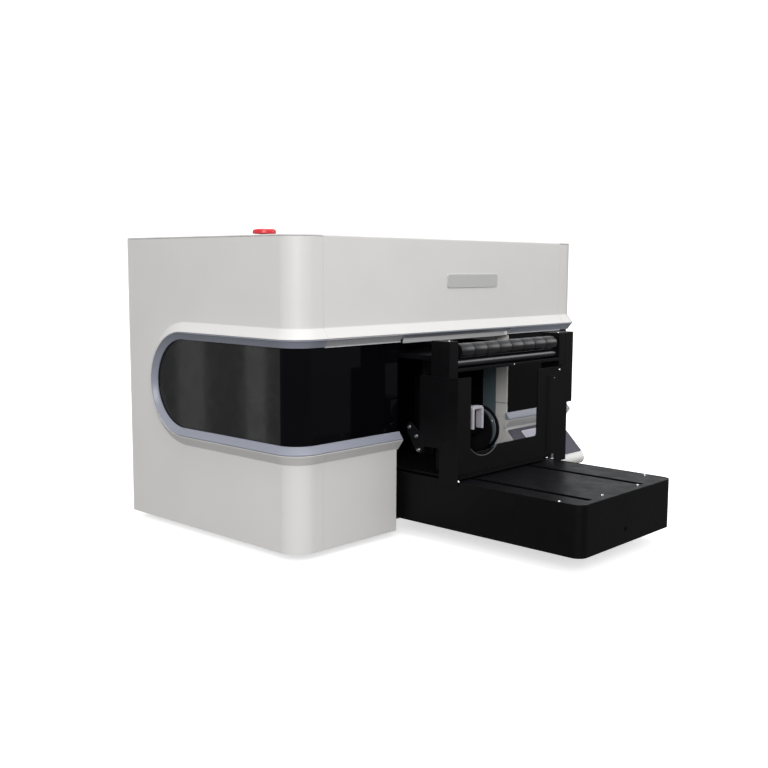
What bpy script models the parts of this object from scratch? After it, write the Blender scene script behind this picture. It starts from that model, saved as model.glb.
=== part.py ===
"""A bench-top UV printer with a roll-fed print table, modelled in metres, +Z up.

The origin is on the floor under the middle of the machine, -Y is the operator's side and
+X is on the operator's right hand. Every moving piece is at its rest place.
"""

import math

import bmesh
import bpy
from mathutils import Matrix, Vector

COLLECTION = "uv_printer"

# Driving dimensions of the casing.
HALF_WIDTH = 0.430
FRONT = -0.052
BACK = 0.449
BOTTOM = 0.012
TOP = 0.568
CORNER = 0.042
SHEET = 0.003
GAP = 0.0003

# The casing's vertical seams, and the opening between its two towers.
SEAM = 0.365
THROAT = 0.176
INNER_WALL_TOP = 0.345

# The raised surround of the windows: its crest stands proud of the casing.
CREST = 0.013
CREST_TOP = 0.389
CREST_BOTTOM = 0.189
CHAMFER = 0.018
WINDOW_MIDDLE = (CREST_TOP + CREST_BOTTOM) / 2
WINDOW_RADIUS = (CREST_TOP - CREST_BOTTOM) / 2
WINDOW_END = 0.259
TRIM_WIDTH = 0.015
TRIM_TAPER = 0.45
GLASS_DEPTH = 0.0015

# The long base that the table runs on.
BASE_HALF = 0.1565
BASE_FRONT = -0.4494
BASE_BACK = 0.420
BASE_BOTTOM = 0.0322
BASE_TOP = 0.1234
BASE_CORNER = 0.019
SLOTS = (-0.1066, 0.0697)
SLOT_WIDTH = 0.0146

# The table's frame, its posts and its two rollers.
FRAME_LEFT = -0.1595
FRAME_RIGHT = 0.1975
FRAME_FRONT = -0.1873
FRAME_TOP = 0.3139
FRAME_SHEET = 0.0027
POST_FRONT = -0.1641
POST_BACK = -0.1195
LEFT_POST = (-0.1562, -0.1318)
RIGHT_POST = (0.2010, 0.2215)
POST_TOP = 0.379
ROLLER_Y = -0.151
PINCH_Z = 0.3591
PINCH_RADIUS = 0.0142
DRIVE_RADIUS = 0.0080
DRIVE_Z = PINCH_Z - PINCH_RADIUS - GAP - DRIVE_RADIUS
PLATEN_TOP = 0.3496
PLATEN_THICKNESS = 0.010
REEL_Y = -0.137
REEL_Z = 0.205

# The print carriage, parked over the capping station.
CARRIAGE_LEFT = 0.190
CARRIAGE_RIGHT = 0.350
HEAD_BOTTOM = 0.3545
BEAM_FRONT = 0.200
RAIL_Z = (0.450, 0.465)
BELT_Z = 0.512
PULLEY_X = 0.375
PULLEY_RADIUS = 0.0118
SCREW_X = -0.0185
SCREW_Z = 0.075

# The console's slope rises at 45 degrees: its face is at z = y + this.
CONSOLE_RISE = 0.2185
CONSOLE_RIGHT = 0.3765

# The emergency stop on the top cover.
STOP_X = -0.3655
STOP_Y = 0.1024

# Finishes: base colour, roughness, metallic.
FINISHES = {
    "white_shell": ((0.62, 0.61, 0.60), 0.42, 0.0),
    "slate_trim": ((0.27, 0.29, 0.36), 0.35, 0.0),
    "smoked_window": ((0.012, 0.012, 0.014), 0.08, 0.0),
    "black_sheet": ((0.020, 0.020, 0.022), 0.45, 0.0),
    "blue_grey_sheet": ((0.30, 0.36, 0.40), 0.40, 0.0),
    "console_face": ((0.13, 0.13, 0.17), 0.45, 0.0),
    "display": ((0.75, 0.76, 0.80), 0.15, 0.0),
    "steel": ((0.55, 0.55, 0.56), 0.30, 1.0),
    "aluminium": ((0.70, 0.70, 0.72), 0.35, 1.0),
    "black_rubber": ((0.018, 0.018, 0.020), 0.60, 0.0),
    "black_plastic": ((0.030, 0.030, 0.032), 0.50, 0.0),
    "stop_red": ((0.60, 0.02, 0.03), 0.35, 0.0),
}


def finish(name):
    """One Principled material for each finish."""
    found = bpy.data.materials.get(name)
    if found:
        return found
    colour, roughness, metallic = FINISHES[name]
    made = bpy.data.materials.new(name)
    made.use_nodes = True
    shader = made.node_tree.nodes["Principled BSDF"]
    shader.inputs["Base Color"].default_value = (*colour, 1.0)
    shader.inputs["Roughness"].default_value = roughness
    shader.inputs["Metallic"].default_value = metallic
    made.diffuse_color = (*colour, 1.0)
    return made


def clear_scene():
    for obj in list(bpy.data.objects):
        bpy.data.objects.remove(obj)


def collection(name):
    found = bpy.data.collections.get(name)
    if not found:
        found = bpy.data.collections.new(name)
        bpy.context.scene.collection.children.link(found)
    return found


def add(name, mesh_data, look, origin=(0, 0, 0)):
    """Turns a bmesh in world coordinates into an object with its origin at a chosen point."""
    bmesh.ops.recalc_face_normals(mesh_data, faces=mesh_data.faces)
    bmesh.ops.translate(mesh_data, verts=mesh_data.verts, vec=-Vector(origin))
    mesh = bpy.data.meshes.new(name)
    mesh_data.to_mesh(mesh)
    mesh_data.free()
    obj = bpy.data.objects.new(name, mesh)
    obj.location = origin
    if look is None:
        obj.hide_render = True
        obj.display_type = "WIRE"
        collection(COLLECTION + "_cutters").objects.link(obj)
    else:
        mesh.materials.append(finish(look))
        collection(COLLECTION).objects.link(obj)
    return obj


def cuboid(name, x, y, z, look=None, origin=(0, 0, 0)):
    """A box between two places along each axis."""
    mesh_data = bmesh.new()
    size = (x[1] - x[0], y[1] - y[0], z[1] - z[0])
    middle = ((x[0] + x[1]) / 2, (y[0] + y[1]) / 2, (z[0] + z[1]) / 2)
    matrix = Matrix.Translation(middle) @ Matrix.Diagonal((*size, 1))
    bmesh.ops.create_cube(mesh_data, size=1.0, matrix=matrix)
    return add(name, mesh_data, look, origin)


def prism(name, outline, axis, span, look=None, origin=(0, 0, 0)):
    """A flat outline pushed along X, Y or Z. Its points give the other two axes in order."""
    index = "XYZ".index(axis)
    mesh_data = bmesh.new()
    corners = []
    for point in outline:
        place = list(point)
        place.insert(index, span[0])
        corners.append(mesh_data.verts.new(place))
    face = mesh_data.faces.new(corners)
    pushed = bmesh.ops.extrude_face_region(mesh_data, geom=[face])["geom"]
    moved = [item for item in pushed if isinstance(item, bmesh.types.BMVert)]
    push = Vector((0, 0, 0))
    push[index] = span[1] - span[0]
    bmesh.ops.translate(mesh_data, verts=moved, vec=push)
    return add(name, mesh_data, look, origin)


def turn_to(axis):
    """The rotation that takes +Z to +X, +Y or +Z."""
    return {
        "X": Matrix.Rotation(math.pi / 2, 4, "Y"),
        "Y": Matrix.Rotation(-math.pi / 2, 4, "X"),
        "Z": Matrix.Identity(4),
    }[axis]


def rod(name, axis, centre, span, radius, look=None, sides=24, origin=None):
    """A cylinder along X, Y or Z. centre gives its place, span its ends along the axis."""
    index = "XYZ".index(axis)
    place = list(centre)
    place[index] = (span[0] + span[1]) / 2
    mesh_data = bmesh.new()
    bmesh.ops.create_cone(
        mesh_data,
        cap_ends=True,
        segments=sides,
        radius1=radius,
        radius2=radius,
        depth=span[1] - span[0],
        matrix=Matrix.Translation(place) @ turn_to(axis),
    )
    made = add(name, mesh_data, look, origin if origin is not None else place)
    smooth(made)
    return made


def turned(name, axis, centre, profile, look, steps=24):
    """A turned solid. profile runs from the axis out and back, as (radius, place along the axis)."""
    mesh = bpy.data.meshes.new(name)
    points = [(radius, 0.0, along) for radius, along in profile]
    mesh.from_pydata(points, [(i, i + 1) for i in range(len(points) - 1)], [])
    mesh.materials.append(finish(look))
    obj = bpy.data.objects.new(name, mesh)
    collection(COLLECTION).objects.link(obj)
    screw = obj.modifiers.new("turn", "SCREW")
    screw.axis = "Z"
    screw.angle = math.tau
    screw.steps = steps
    screw.render_steps = steps
    screw.use_merge_vertices = True
    screw.merge_threshold = 0.00002
    screw.use_smooth_shade = True
    obj.matrix_world = Matrix.Translation(centre) @ turn_to(axis)
    return obj


def smooth(obj):
    obj.data.shade_smooth()
    obj.data.set_sharp_from_angle(angle=math.radians(35))


def combine(obj, others, operation):
    for other in others:
        boolean = obj.modifiers.new(operation.lower(), "BOOLEAN")
        boolean.object = other
        boolean.operation = operation
        boolean.solver = "EXACT"


def cut(obj, *cutters):
    combine(obj, cutters, "DIFFERENCE")


def join(obj, *others):
    combine(obj, others, "UNION")


def soften(obj, width, segments=2):
    """A small bevel on the sharp edges, added before any cut."""
    bevel = obj.modifiers.new("soften", "BEVEL")
    bevel.width = width
    bevel.segments = segments
    bevel.limit_method = "ANGLE"
    bevel.angle_limit = math.radians(40)


def arc(centre, radius, start, end, steps):
    """Points along an arc, angles in degrees."""
    points = []
    for i in range(steps + 1):
        angle = math.radians(start + (end - start) * i / steps)
        across = centre[0] + radius * math.cos(angle)
        up = centre[1] + radius * math.sin(angle)
        points.append((across, up))
    return points


def mirrored(points, side):
    """The outline on the left (-1) or the right (+1) of the machine."""
    return [(-side * x, y) for x, y in points]


def stadium(radius, start, steps=16):
    """A window's outline seen from the side: straight from the front, round at its rear end."""
    tip = arc((WINDOW_END, WINDOW_MIDDLE), radius, -90, 90, steps)
    return [(start, WINDOW_MIDDLE - radius), *tip, (start, WINDOW_MIDDLE + radius)]


# The casing's skin, unrolled: s is the distance round the casing from its middle line.
CORNER_START = HALF_WIDTH - CORNER
CORNER_LENGTH = CORNER * math.pi / 2
SIDE_START = CORNER_START + CORNER_LENGTH


def skin(s, depth, side):
    """The point at distance s round the casing, depth outside its skin."""
    if s <= CORNER_START:
        x, y = s, FRONT - depth
    elif s <= SIDE_START:
        angle = (s - CORNER_START) / CORNER
        x = CORNER_START + (CORNER + depth) * math.sin(angle)
        y = FRONT + CORNER - (CORNER + depth) * math.cos(angle)
    else:
        x, y = HALF_WIDTH + depth, FRONT + CORNER + s - SIDE_START
    return side * x, y


def surround_path(start, end, corner_steps=8, tip_steps=16):
    """(s, z, outward s, outward z) along the crest: front, corner, side, round end and back."""
    corner = [CORNER_START + CORNER_LENGTH * i / corner_steps for i in range(corner_steps + 1)]
    tip = SIDE_START + WINDOW_END - FRONT - CORNER
    path = [(s, CREST_BOTTOM, 0, -1) for s in [start, *corner]]
    for i in range(tip_steps + 1):
        angle = math.radians(-90 + 180 * i / tip_steps)
        out = (math.cos(angle), math.sin(angle))
        s = tip + WINDOW_RADIUS * out[0]
        path.append((s, WINDOW_MIDDLE + WINDOW_RADIUS * out[1], *out))
    path += [(s, CREST_TOP, 0, 1) for s in [*reversed(corner), end]]
    return path


def sweep(name, section, start, end, side, look=None, taper=0.0):
    """Carries a section of (outward, depth) points along a window's crest, round the casing.

    The section narrows by the share taper at the tip of the window's round end.
    """
    mesh_data = bmesh.new()
    rings = []
    for s, z, out_s, out_z in surround_path(start, end):
        ring = []
        for wide, depth in section:
            outward = wide * (1 - taper * abs(out_s))
            x, y = skin(s + outward * out_s, depth, side)
            ring.append(mesh_data.verts.new((x, y, z + outward * out_z)))
        rings.append(ring)
    count = len(section)
    for near, far in zip(rings, rings[1:]):
        for i in range(count):
            j = (i + 1) % count
            mesh_data.faces.new((near[i], near[j], far[j], far[i]))
    mesh_data.faces.new(list(reversed(rings[0])))
    mesh_data.faces.new(rings[-1])
    return add(name, mesh_data, look)


def plan_corner(inset, from_x, to_y, steps=8):
    """The casing's plan line on the left: along the front, round the corner, down the side."""
    centre = (-CORNER_START, FRONT + CORNER)
    bend = arc(centre, CORNER - inset, 270, 180, steps)
    return [(-from_x, FRONT + inset), *bend, (-HALF_WIDTH + inset, to_y)]


def make_side_shell(name, side):
    """A tower's side with its round front corner, its window hole and the surround's chamfer."""
    end = BACK - SHEET - GAP
    outline = plan_corner(0, SEAM + GAP, end) + plan_corner(SHEET, SEAM + GAP, end)[::-1]
    low = BOTTOM + GAP
    shell = prism(name, mirrored(outline, side), "Z", (low, TOP - SHEET - GAP), "white_shell")
    reach = (side * 0.300, side * (HALF_WIDTH + 0.03))
    hole = prism(name + "_hole", stadium(WINDOW_RADIUS - 0.005, -0.1), "X", sorted(reach))
    bury = -0.0014
    ridge = [(0, CREST), (CHAMFER, 0.0002), (CHAMFER - 0.001, bury), (0, bury)]
    chamfer = sweep(name + "_chamfer", ridge, SEAM + GAP, SEAM + GAP, side)
    cut(shell, hole)
    join(shell, chamfer)
    return shell


def make_window(name, side):
    """A smoked sheet that wraps the front corner, with a round rear end."""
    start = THROAT - 0.004 if side < 0 else THROAT + SHEET + 0.001
    outer = plan_corner(GLASS_DEPTH, start, 0.40)
    inner = plan_corner(GLASS_DEPTH + SHEET, start, 0.40)[::-1]
    span = (CREST_BOTTOM - 0.02, CREST_TOP + 0.02)
    glass = prism(name, mirrored(outer + inner, side), "Z", span, "smoked_window")
    reach = (side * 0.100, side * (HALF_WIDTH + 0.03))
    keep = prism(name + "_edge", stadium(WINDOW_RADIUS - 0.0055, -0.1), "X", sorted(reach))
    combine(glass, [keep], "INTERSECT")
    return glass


def make_trim(name, side):
    """The lilac band between the crest and the glass."""
    section = [
        (-GAP, CREST - GAP),
        (-GAP, GAP),
        (-TRIM_WIDTH, GAP),
        (-TRIM_WIDTH, 0.0020),
    ]
    sweep(name, section, THROAT - 0.006, SEAM - GAP, side, "slate_trim", TRIM_TAPER)


def lower_ridge(name, side):
    """The straight stretch of the lower chamfer, in front of the opening's side of a tower."""
    section = [
        (FRONT + 0.0010, CREST_BOTTOM - CHAMFER + 0.001),
        (FRONT - 0.0002, CREST_BOTTOM - CHAMFER),
        (FRONT - CREST, CREST_BOTTOM),
        (FRONT + 0.0010, CREST_BOTTOM),
    ]
    reach = (side * (THROAT - 0.006), side * (SEAM - GAP))
    return prism(name, section, "X", sorted(reach))


def make_lower_left_panel():
    """The white panel left of the base, folded back along the opening as its inner wall."""
    wall = (-THROAT, -THROAT + SHEET)
    outline = [
        (-SEAM + GAP, FRONT),
        (wall[1], FRONT),
        (wall[1], -0.0045),
        (wall[0], -0.0045),
        (wall[0], FRONT + SHEET),
        (-SEAM + GAP, FRONT + SHEET),
    ]
    top = CREST_BOTTOM + 0.004
    panel = prism("lower_left_panel", outline, "Z", (BOTTOM + GAP, top), "white_shell")
    upper = cuboid("left_wall", wall, (FRONT + 0.006, 0.400), (0.0178, INNER_WALL_TOP))
    join(panel, lower_ridge("left_lower_ridge", -1), upper)


def console_outline(inset):
    """The console in side view: a sloping face down to a round nose, and back underneath."""
    nose = arc((-0.1090, 0.0880), 0.0135 - inset, 155, 265, 6)
    top = (FRONT - GAP, FRONT + CONSOLE_RISE - inset * 1.4)
    tip = (-0.1170 + inset, 0.1015)
    back = (FRONT - GAP, 0.0560 + inset)
    return [top, tip, *nose, back]


def make_console():
    """The right lower front: white panel, opening's corner strip and the sloping console."""
    wall = (THROAT, THROAT + SHEET)
    outline = [
        (SEAM - GAP, FRONT),
        (wall[0], FRONT),
        (wall[0], -0.0213),
        (wall[1], -0.0213),
        (wall[1], FRONT + SHEET),
        (SEAM - GAP, FRONT + SHEET),
    ]
    top = CREST_BOTTOM + 0.004
    shell = prism("console_shell", outline, "Z", (BOTTOM + GAP, top), "white_shell")
    strip = cuboid("corner_strip", wall, (FRONT + 0.0012, -0.0213), (top - 0.002, 0.3697))
    reach = (THROAT, SEAM - GAP)
    body = console_outline(0)
    overhang = prism("console_overhang", body, "X", (SEAM - 0.002, CONSOLE_RIGHT))
    body[0] = (FRONT + 0.0015, body[0][1] - 0.0018)
    body[-1] = (FRONT + 0.0015, body[-1][1])
    nose = prism("console_nose", body, "X", reach)
    hollow = console_outline(SHEET)
    hollow[0] = (FRONT + 0.02, hollow[0][1])
    hollow[-1] = (FRONT + 0.02, hollow[-1][1])
    room = prism("console_room", hollow, "X", (reach[0] + 2 * SHEET, reach[1] - SHEET))
    join(shell, strip, lower_ridge("right_lower_ridge", 1), nose, overhang)
    cut(shell, room)


def on_console(x, along, rise, thickness, name, look):
    """A thin plate on the console's slope. along gives its upper and lower place in Y."""
    section = []
    for y, lift in (
        (along[0], rise),
        (along[1], rise),
        (along[1], rise + thickness),
        (along[0], rise + thickness),
    ):
        shift = lift / math.sqrt(2)
        section.append((y - shift, y + CONSOLE_RISE + shift))
    prism(name, section, "X", x, look)


def make_console_face():
    on_console((0.1765, 0.3730), (-0.0532, -0.1150), GAP, 0.0012, "console_panel", "console_face")
    on_console((0.217, 0.320), (-0.0580, -0.0825), 0.0018, 0.0010, "console_display", "display")


def make_top_cover():
    """The flat top, notched in front for the hinged cover's lip, with the stop's hole."""
    left = plan_corner(0, SEAM + GAP, BACK)
    right = [(-x, y) for x, y in left[::-1]]
    lip = FRONT + 0.0303
    outline = [(-SEAM - GAP, lip), *left, *right, (SEAM + GAP, lip)]
    cover = prism("top_cover", outline, "Z", (TOP - SHEET, TOP), "white_shell")
    cut(cover, rod("stop_hole", "Z", (STOP_X, STOP_Y, 0), (0.54, 0.60), 0.0120))


def make_rear_panel():
    """The rear sheet, with a round fan hole, vent slots and the power inlet's cut-out."""
    span = (BOTTOM + GAP, TOP - SHEET - GAP)
    sides = (-HALF_WIDTH, HALF_WIDTH)
    panel = cuboid("rear_panel", sides, (BACK - SHEET, BACK), span, "white_shell")
    through = (BACK - 0.02, BACK + 0.02)
    cut(panel, rod("fan_hole", "Y", (0.300, 0, 0.440), through, 0.037, sides=32))
    cut(panel, cuboid("inlet_hole", (0.3147, 0.3653), through, (0.0547, 0.0853)))
    for i in range(5):
        low = 0.420 + 0.014 * i
        cut(panel, cuboid(f"vent_{i}", (-0.340, -0.240), through, (low, low + 0.006)))


def make_front_cover():
    """The hinged cover above the opening: front sheet, lip on top, chamfer below."""
    outline = [
        (FRONT, TOP),
        (FRONT, CREST_TOP + CHAMFER),
        (FRONT - CREST, CREST_TOP),
        (FRONT + SHEET, CREST_TOP),
        (FRONT + SHEET, TOP - SHEET),
        (FRONT + 0.030, TOP - SHEET),
        (FRONT + 0.030, TOP),
    ]
    reach = (-SEAM + GAP, SEAM - GAP)
    hinge = (0, FRONT + 0.030, TOP)
    prism("front_cover", outline, "X", reach, "white_shell", hinge)
    band = [
        (FRONT - CREST + 0.0004, CREST_TOP - GAP),
        (FRONT + GLASS_DEPTH - GAP, CREST_TOP - GAP),
        (FRONT + GLASS_DEPTH - GAP, CREST_TOP - 0.0185),
        (FRONT - 0.0010, CREST_TOP - 0.0185),
    ]
    prism("cover_trim", band, "X", reach, "slate_trim", hinge)


def make_floor():
    """The floor pan under both towers, with two ribs that carry the base, and four feet."""
    reach = (-HALF_WIDTH + 0.0035, HALF_WIDTH - 0.0035)
    pan = cuboid("floor_pan", reach, (0.0, BACK - 0.004), (0.0145, 0.0175), "steel")
    ribs = []
    for i, y in enumerate((0.050, 0.350)):
        ribs.append(cuboid(f"rib_{i}", (-0.12, 0.12), (y, y + 0.03), (0.0170, BASE_BOTTOM - GAP)))
    join(pan, *ribs)
    for end, y in (("front", 0.045), ("rear", 0.400)):
        for hand, x in (("left", -0.380), ("right", 0.380)):
            foot = (x, y, 0)
            rod(f"foot_{end}_{hand}", "Z", foot, (0, 0.0142), 0.018, "black_rubber", sides=20)


def base_outline(inset):
    """The base seen from above, with round front corners."""
    half = BASE_HALF - inset
    radius = BASE_CORNER - inset
    front = BASE_FRONT + inset
    left = arc((-half + radius, front + radius), radius, 180, 270, 5)
    right = arc((half - radius, front + radius), radius, 270, 360, 5)
    return [(-half, BASE_BACK - inset), *left, *right, (half, BASE_BACK - inset)]


def make_base():
    """The long box in front, with a flange that its slotted top plate lies on."""
    tray = prism("base_tray", base_outline(0), "Z", (BASE_BOTTOM, BASE_TOP), "black_sheet")
    room = prism("base_room", base_outline(SHEET), "Z", (BASE_BOTTOM + SHEET, 0.1169))
    mouth = prism("base_mouth", base_outline(0.010), "Z", (0.100, 0.140))
    recess = prism("base_recess", base_outline(0.0025), "Z", (0.1199, 0.140))
    spy = rod("front_hole", "Y", (-0.0126, 0, 0.0581), (-0.47, -0.43), 0.004, sides=12)
    cut(tray, room, mouth, recess, spy)
    span = (0.1202, BASE_TOP - 0.0004)
    plate = prism("base_top_plate", base_outline(0.0030), "Z", span, "black_sheet")
    for i, x in enumerate(SLOTS):
        half = SLOT_WIDTH / 2
        cut(plate, cuboid(f"slot_{i}", (x - half, x + half), (-0.434, 0.035), (0.10, 0.14)))


def make_y_drive():
    """Two rails in the base, the screw between them and its motor."""
    for name, x in zip(("y_rail_left", "y_rail_right"), SLOTS):
        cuboid(name, (x - 0.0065, x + 0.0065), (-0.430, 0.380), (0.0355, 0.0455), "steel")
    turned(
        "y_screw",
        "Y",
        (SCREW_X, -0.432, SCREW_Z),
        [(0, 0.7620), (0.0040, 0.7620), (0.0040, 0.7500), (0.0060, 0.7490), (0.0060, 0), (0, 0)],
        "steel",
        steps=16,
    )
    half = 0.021
    cuboid(
        "y_motor",
        (SCREW_X - half, SCREW_X + half),
        (0.3305, 0.376),
        (SCREW_Z - half, SCREW_Z + half),
        "black_plastic",
    )


def make_saddle():
    """The plate above the base, its blades through the slots, the nut block and lift column."""
    saddle = cuboid("saddle", (-0.150, 0.150), (-0.184, 0.080), (0.1262, 0.1302), "black_sheet")
    flange = cuboid("saddle_flange", (-0.150, 0.150), (-0.184, -0.181), (0.1280, 0.1720))
    blades = []
    for i, x in enumerate(SLOTS):
        blades.append(
            cuboid(f"blade_{i}", (x - 0.005, x + 0.005), (-0.175, 0.015), (0.0623, 0.1280))
        )
    nut = cuboid("nut_block", (SLOTS[0], SLOTS[1]), (-0.090, -0.060), (0.0650, 0.0850))
    column = rod("lift_column", "Z", (0, 0.030, 0), (0.1280, 0.290), 0.0200)
    join(saddle, flange, *blades, nut, column)
    bore = rod("nut_bore", "Y", (SCREW_X, 0, SCREW_Z), (-0.12, 0), 0.0066, sides=16)
    well = rod("column_bore", "Z", (0, 0.030, 0), (0.1310, 0.300), 0.0165)
    cut(saddle, bore, well)
    for name, x in zip(("rail_block_left", "rail_block_right"), SLOTS):
        block = cuboid(name, (x - 0.018, x + 0.018), (-0.165, 0.005), (0.0400, 0.0620), "steel")
        groove = cuboid(name + "_groove", (x - 0.0070, x + 0.0070), (-0.2, 0.1), (0.03, 0.0460))
        cut(block, groove)


def frame_front_outline():
    """The frame's front sheet: two columns and the strip between them, notched by the reel."""
    strip = (0.1365, 0.180)
    opening = (-0.122, 0.092)
    centre = (-0.080, 0.2202)
    radius = 0.0568
    half_angle = math.degrees(math.acos((centre[1] - strip[1]) / radius))
    notch = arc(centre, radius, 270 + half_angle, 270 - half_angle, 8)
    return [
        (FRAME_LEFT, strip[0]),
        (BASE_HALF + GAP, strip[0]),
        (BASE_HALF + GAP, 0.118),
        (FRAME_RIGHT, 0.118),
        (FRAME_RIGHT, FRAME_TOP),
        (opening[1], FRAME_TOP),
        (opening[1], strip[1]),
        *notch,
        (opening[0], strip[1]),
        (opening[0], FRAME_TOP),
        (FRAME_LEFT, FRAME_TOP),
    ]


def make_lower_frame():
    """The folded sheet that stands on the saddle, with a foot down the base's left side."""
    back = FRAME_FRONT + FRAME_SHEET
    frame = prism(
        "lower_frame", frame_front_outline(), "Y", (FRAME_FRONT, back), "black_sheet"
    )
    left = [
        (FRAME_FRONT, 0.116),
        (-0.1437, 0.116),
        (-0.1437, 0.181),
        (-0.0960, 0.181),
        (-0.0960, FRAME_TOP),
        (FRAME_FRONT, FRAME_TOP),
    ]
    right = [
        (FRAME_FRONT, 0.118),
        (-0.1660, 0.118),
        (-0.1660, FRAME_TOP),
        (FRAME_FRONT, FRAME_TOP),
    ]
    span_left = (FRAME_LEFT, FRAME_LEFT + FRAME_SHEET)
    span_right = (FRAME_RIGHT - FRAME_SHEET, FRAME_RIGHT)
    join(
        frame,
        prism("frame_left", left, "X", span_left),
        prism("frame_right", right, "X", span_right),
    )


def make_posts():
    """The posts that rise out of the frame, the right one with its drive box."""
    depth = (POST_FRONT, POST_BACK)
    left = cuboid("left_post", LEFT_POST, depth, (0.200, POST_TOP), "black_sheet")
    soften(left, 0.0008, 1)
    right = cuboid("right_post", RIGHT_POST, depth, (0.200, POST_TOP), "black_sheet")
    box = cuboid("drive_box", (0.2205, 0.2528), depth, (0.232, POST_TOP + 0.0008))
    join(right, box)
    span = (LEFT_POST[1] + GAP, RIGHT_POST[0] - GAP)
    cuboid("cross_plate", span, (POST_FRONT, -0.1420), (0.3219, 0.3280), "black_sheet")


def make_platen():
    """The flat print table behind the rollers, with a narrow lip between the posts."""
    span = (PLATEN_TOP - PLATEN_THICKNESS, PLATEN_TOP)
    platen = cuboid("platen", (-0.1376, 0.1376), (-0.1190, 0.330), span, "black_sheet")
    lip = cuboid("platen_lip", (-0.1313, 0.1376), (-0.1363, -0.1180), span)
    join(platen, lip)
    rod("lift_rod", "Z", (0, 0.030, 0), (0.178, span[0] - GAP), 0.0160, "steel")


def roller_profile(length, radius, journal, reach, grooves):
    """A roller with journals at both ends and evenly spaced grooves, along its own axis."""
    half = length / 2
    groove = 0.0010
    deep = radius - 0.0012
    points = [(0, half + reach), (journal, half + reach), (journal, half), (radius, half)]
    for i in range(grooves):
        place = half - length * (i + 1) / (grooves + 1)
        points += [
            (radius, place + groove),
            (deep, place + groove),
            (deep, place - groove),
            (radius, place - groove),
        ]
    points += [(radius, -half), (journal, -half), (journal, -half - reach), (0, -half - reach)]
    return points


def make_rollers():
    """The smooth driven roller and the segmented pinch roller on top of it."""
    ends = (LEFT_POST[1] + GAP, RIGHT_POST[0] - GAP)
    middle = (ends[0] + ends[1]) / 2
    reach = 0.010
    length = ends[1] - ends[0] - 2 * reach
    drive = roller_profile(length + 0.014, DRIVE_RADIUS, 0.004, reach - 0.007, 0)
    pinch = roller_profile(length, PINCH_RADIUS, 0.005, reach, 7)
    turned("drive_roller", "X", (middle, ROLLER_Y, DRIVE_Z), drive, "black_sheet", steps=20)
    turned("pinch_roller", "X", (middle, ROLLER_Y, PINCH_Z), pinch, "black_rubber", steps=20)


def make_reel():
    """The take-up reel under the platen, on a shaft held by a stand with a film guide."""
    profile = [
        (0, 0.1100),
        (0.006, 0.1100),
        (0.006, 0.1010),
        (0.044, 0.1010),
        (0.044, 0.0980),
        (0.018, 0.0980),
        (0.018, 0.0800),
        (0.044, 0.0800),
        (0.044, 0.0770),
        (0.014, 0.0770),
        (0.014, 0.0300),
        (0.006, 0.0300),
        (0.006, 0),
        (0, 0),
    ]
    turned("take_up_reel", "X", (-0.1252, REEL_Y, REEL_Z), profile, "black_plastic", steps=32)
    stand = cuboid(
        "reel_stand", (-0.1290, -0.1255), (-0.165, -0.110), (0.1305, 0.2555), "black_sheet"
    )
    arm = cuboid("stand_arm", (-0.1280, -0.0735), (-0.165, -0.127), (0.2505, 0.2550))
    guide = cuboid("film_guide", (-0.1065, -0.0735), (-0.180, -0.158), (0.2140, 0.2570))
    slot = cuboid("guide_slot", (-0.1010, -0.0790), (-0.2, -0.1), (0.20, 0.2515))
    cut(guide, slot)
    join(stand, arm, guide)


def make_tension_knob():
    profile = [
        (0, 0.0150),
        (0.0030, 0.0150),
        (0.0030, 0.0100),
        (0.0070, 0.0095),
        (0.0070, 0.0010),
        (0.0060, 0),
        (0, 0),
    ]
    turned("tension_knob", "Z", (0.240, -0.142, 0.2167), profile, "aluminium", steps=20)


def make_portal():
    """The beam across the hood on its two uprights, with the rail that the carriage rides."""
    reach = (-0.400, 0.400)
    beam = cuboid("x_portal", reach, (BEAM_FRONT, 0.260), (0.430, 0.490), "aluminium")
    legs = []
    for i, x in enumerate((-0.380, 0.340)):
        legs.append(cuboid(f"upright_{i}", (x, x + 0.040), (0.210, 0.250), (0.0178, 0.440)))
    join(beam, *legs)
    cut(beam, cuboid("beam_room", (-0.41, 0.41), (BEAM_FRONT + SHEET, 0.257), (0.433, 0.487)))
    for i, x in enumerate((-0.380, 0.340)):
        room = (x + SHEET, x + 0.040 - SHEET)
        cut(beam, cuboid(f"upright_room_{i}", room, (0.213, 0.247), (0.0, 0.440)))
    cuboid("x_rail", (-0.385, 0.385), (0.190, BEAM_FRONT - GAP), RAIL_Z, "steel")


def belt_outline(radius, steps=10):
    right = arc((PULLEY_X, BELT_Z), radius, -90, 90, steps)
    left = arc((-PULLEY_X, BELT_Z), radius, 90, 270, steps)
    return right + left


def make_x_drive():
    """The carriage's belt, the pulleys it runs on and the motor on top of the beam."""
    thickness = 0.0014
    near = PULLEY_RADIUS + 2 * GAP
    belt = prism("x_belt", belt_outline(near + thickness), "Y", (0.1862, 0.1962), "black_rubber")
    cut(belt, prism("belt_inside", belt_outline(near), "Y", (0.18, 0.21)))
    for name, x in (("x_idler_pulley", -PULLEY_X), ("x_drive_pulley", PULLEY_X)):
        rod(name, "Y", (x, 0, BELT_Z), (0.1862, 0.1998), PULLEY_RADIUS, "aluminium", sides=20)
    side = (PULLEY_X - 0.021, PULLEY_X + 0.021)
    cuboid("x_motor", side, (0.2003, 0.240), (0.4913, 0.5333), "black_plastic")


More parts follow.
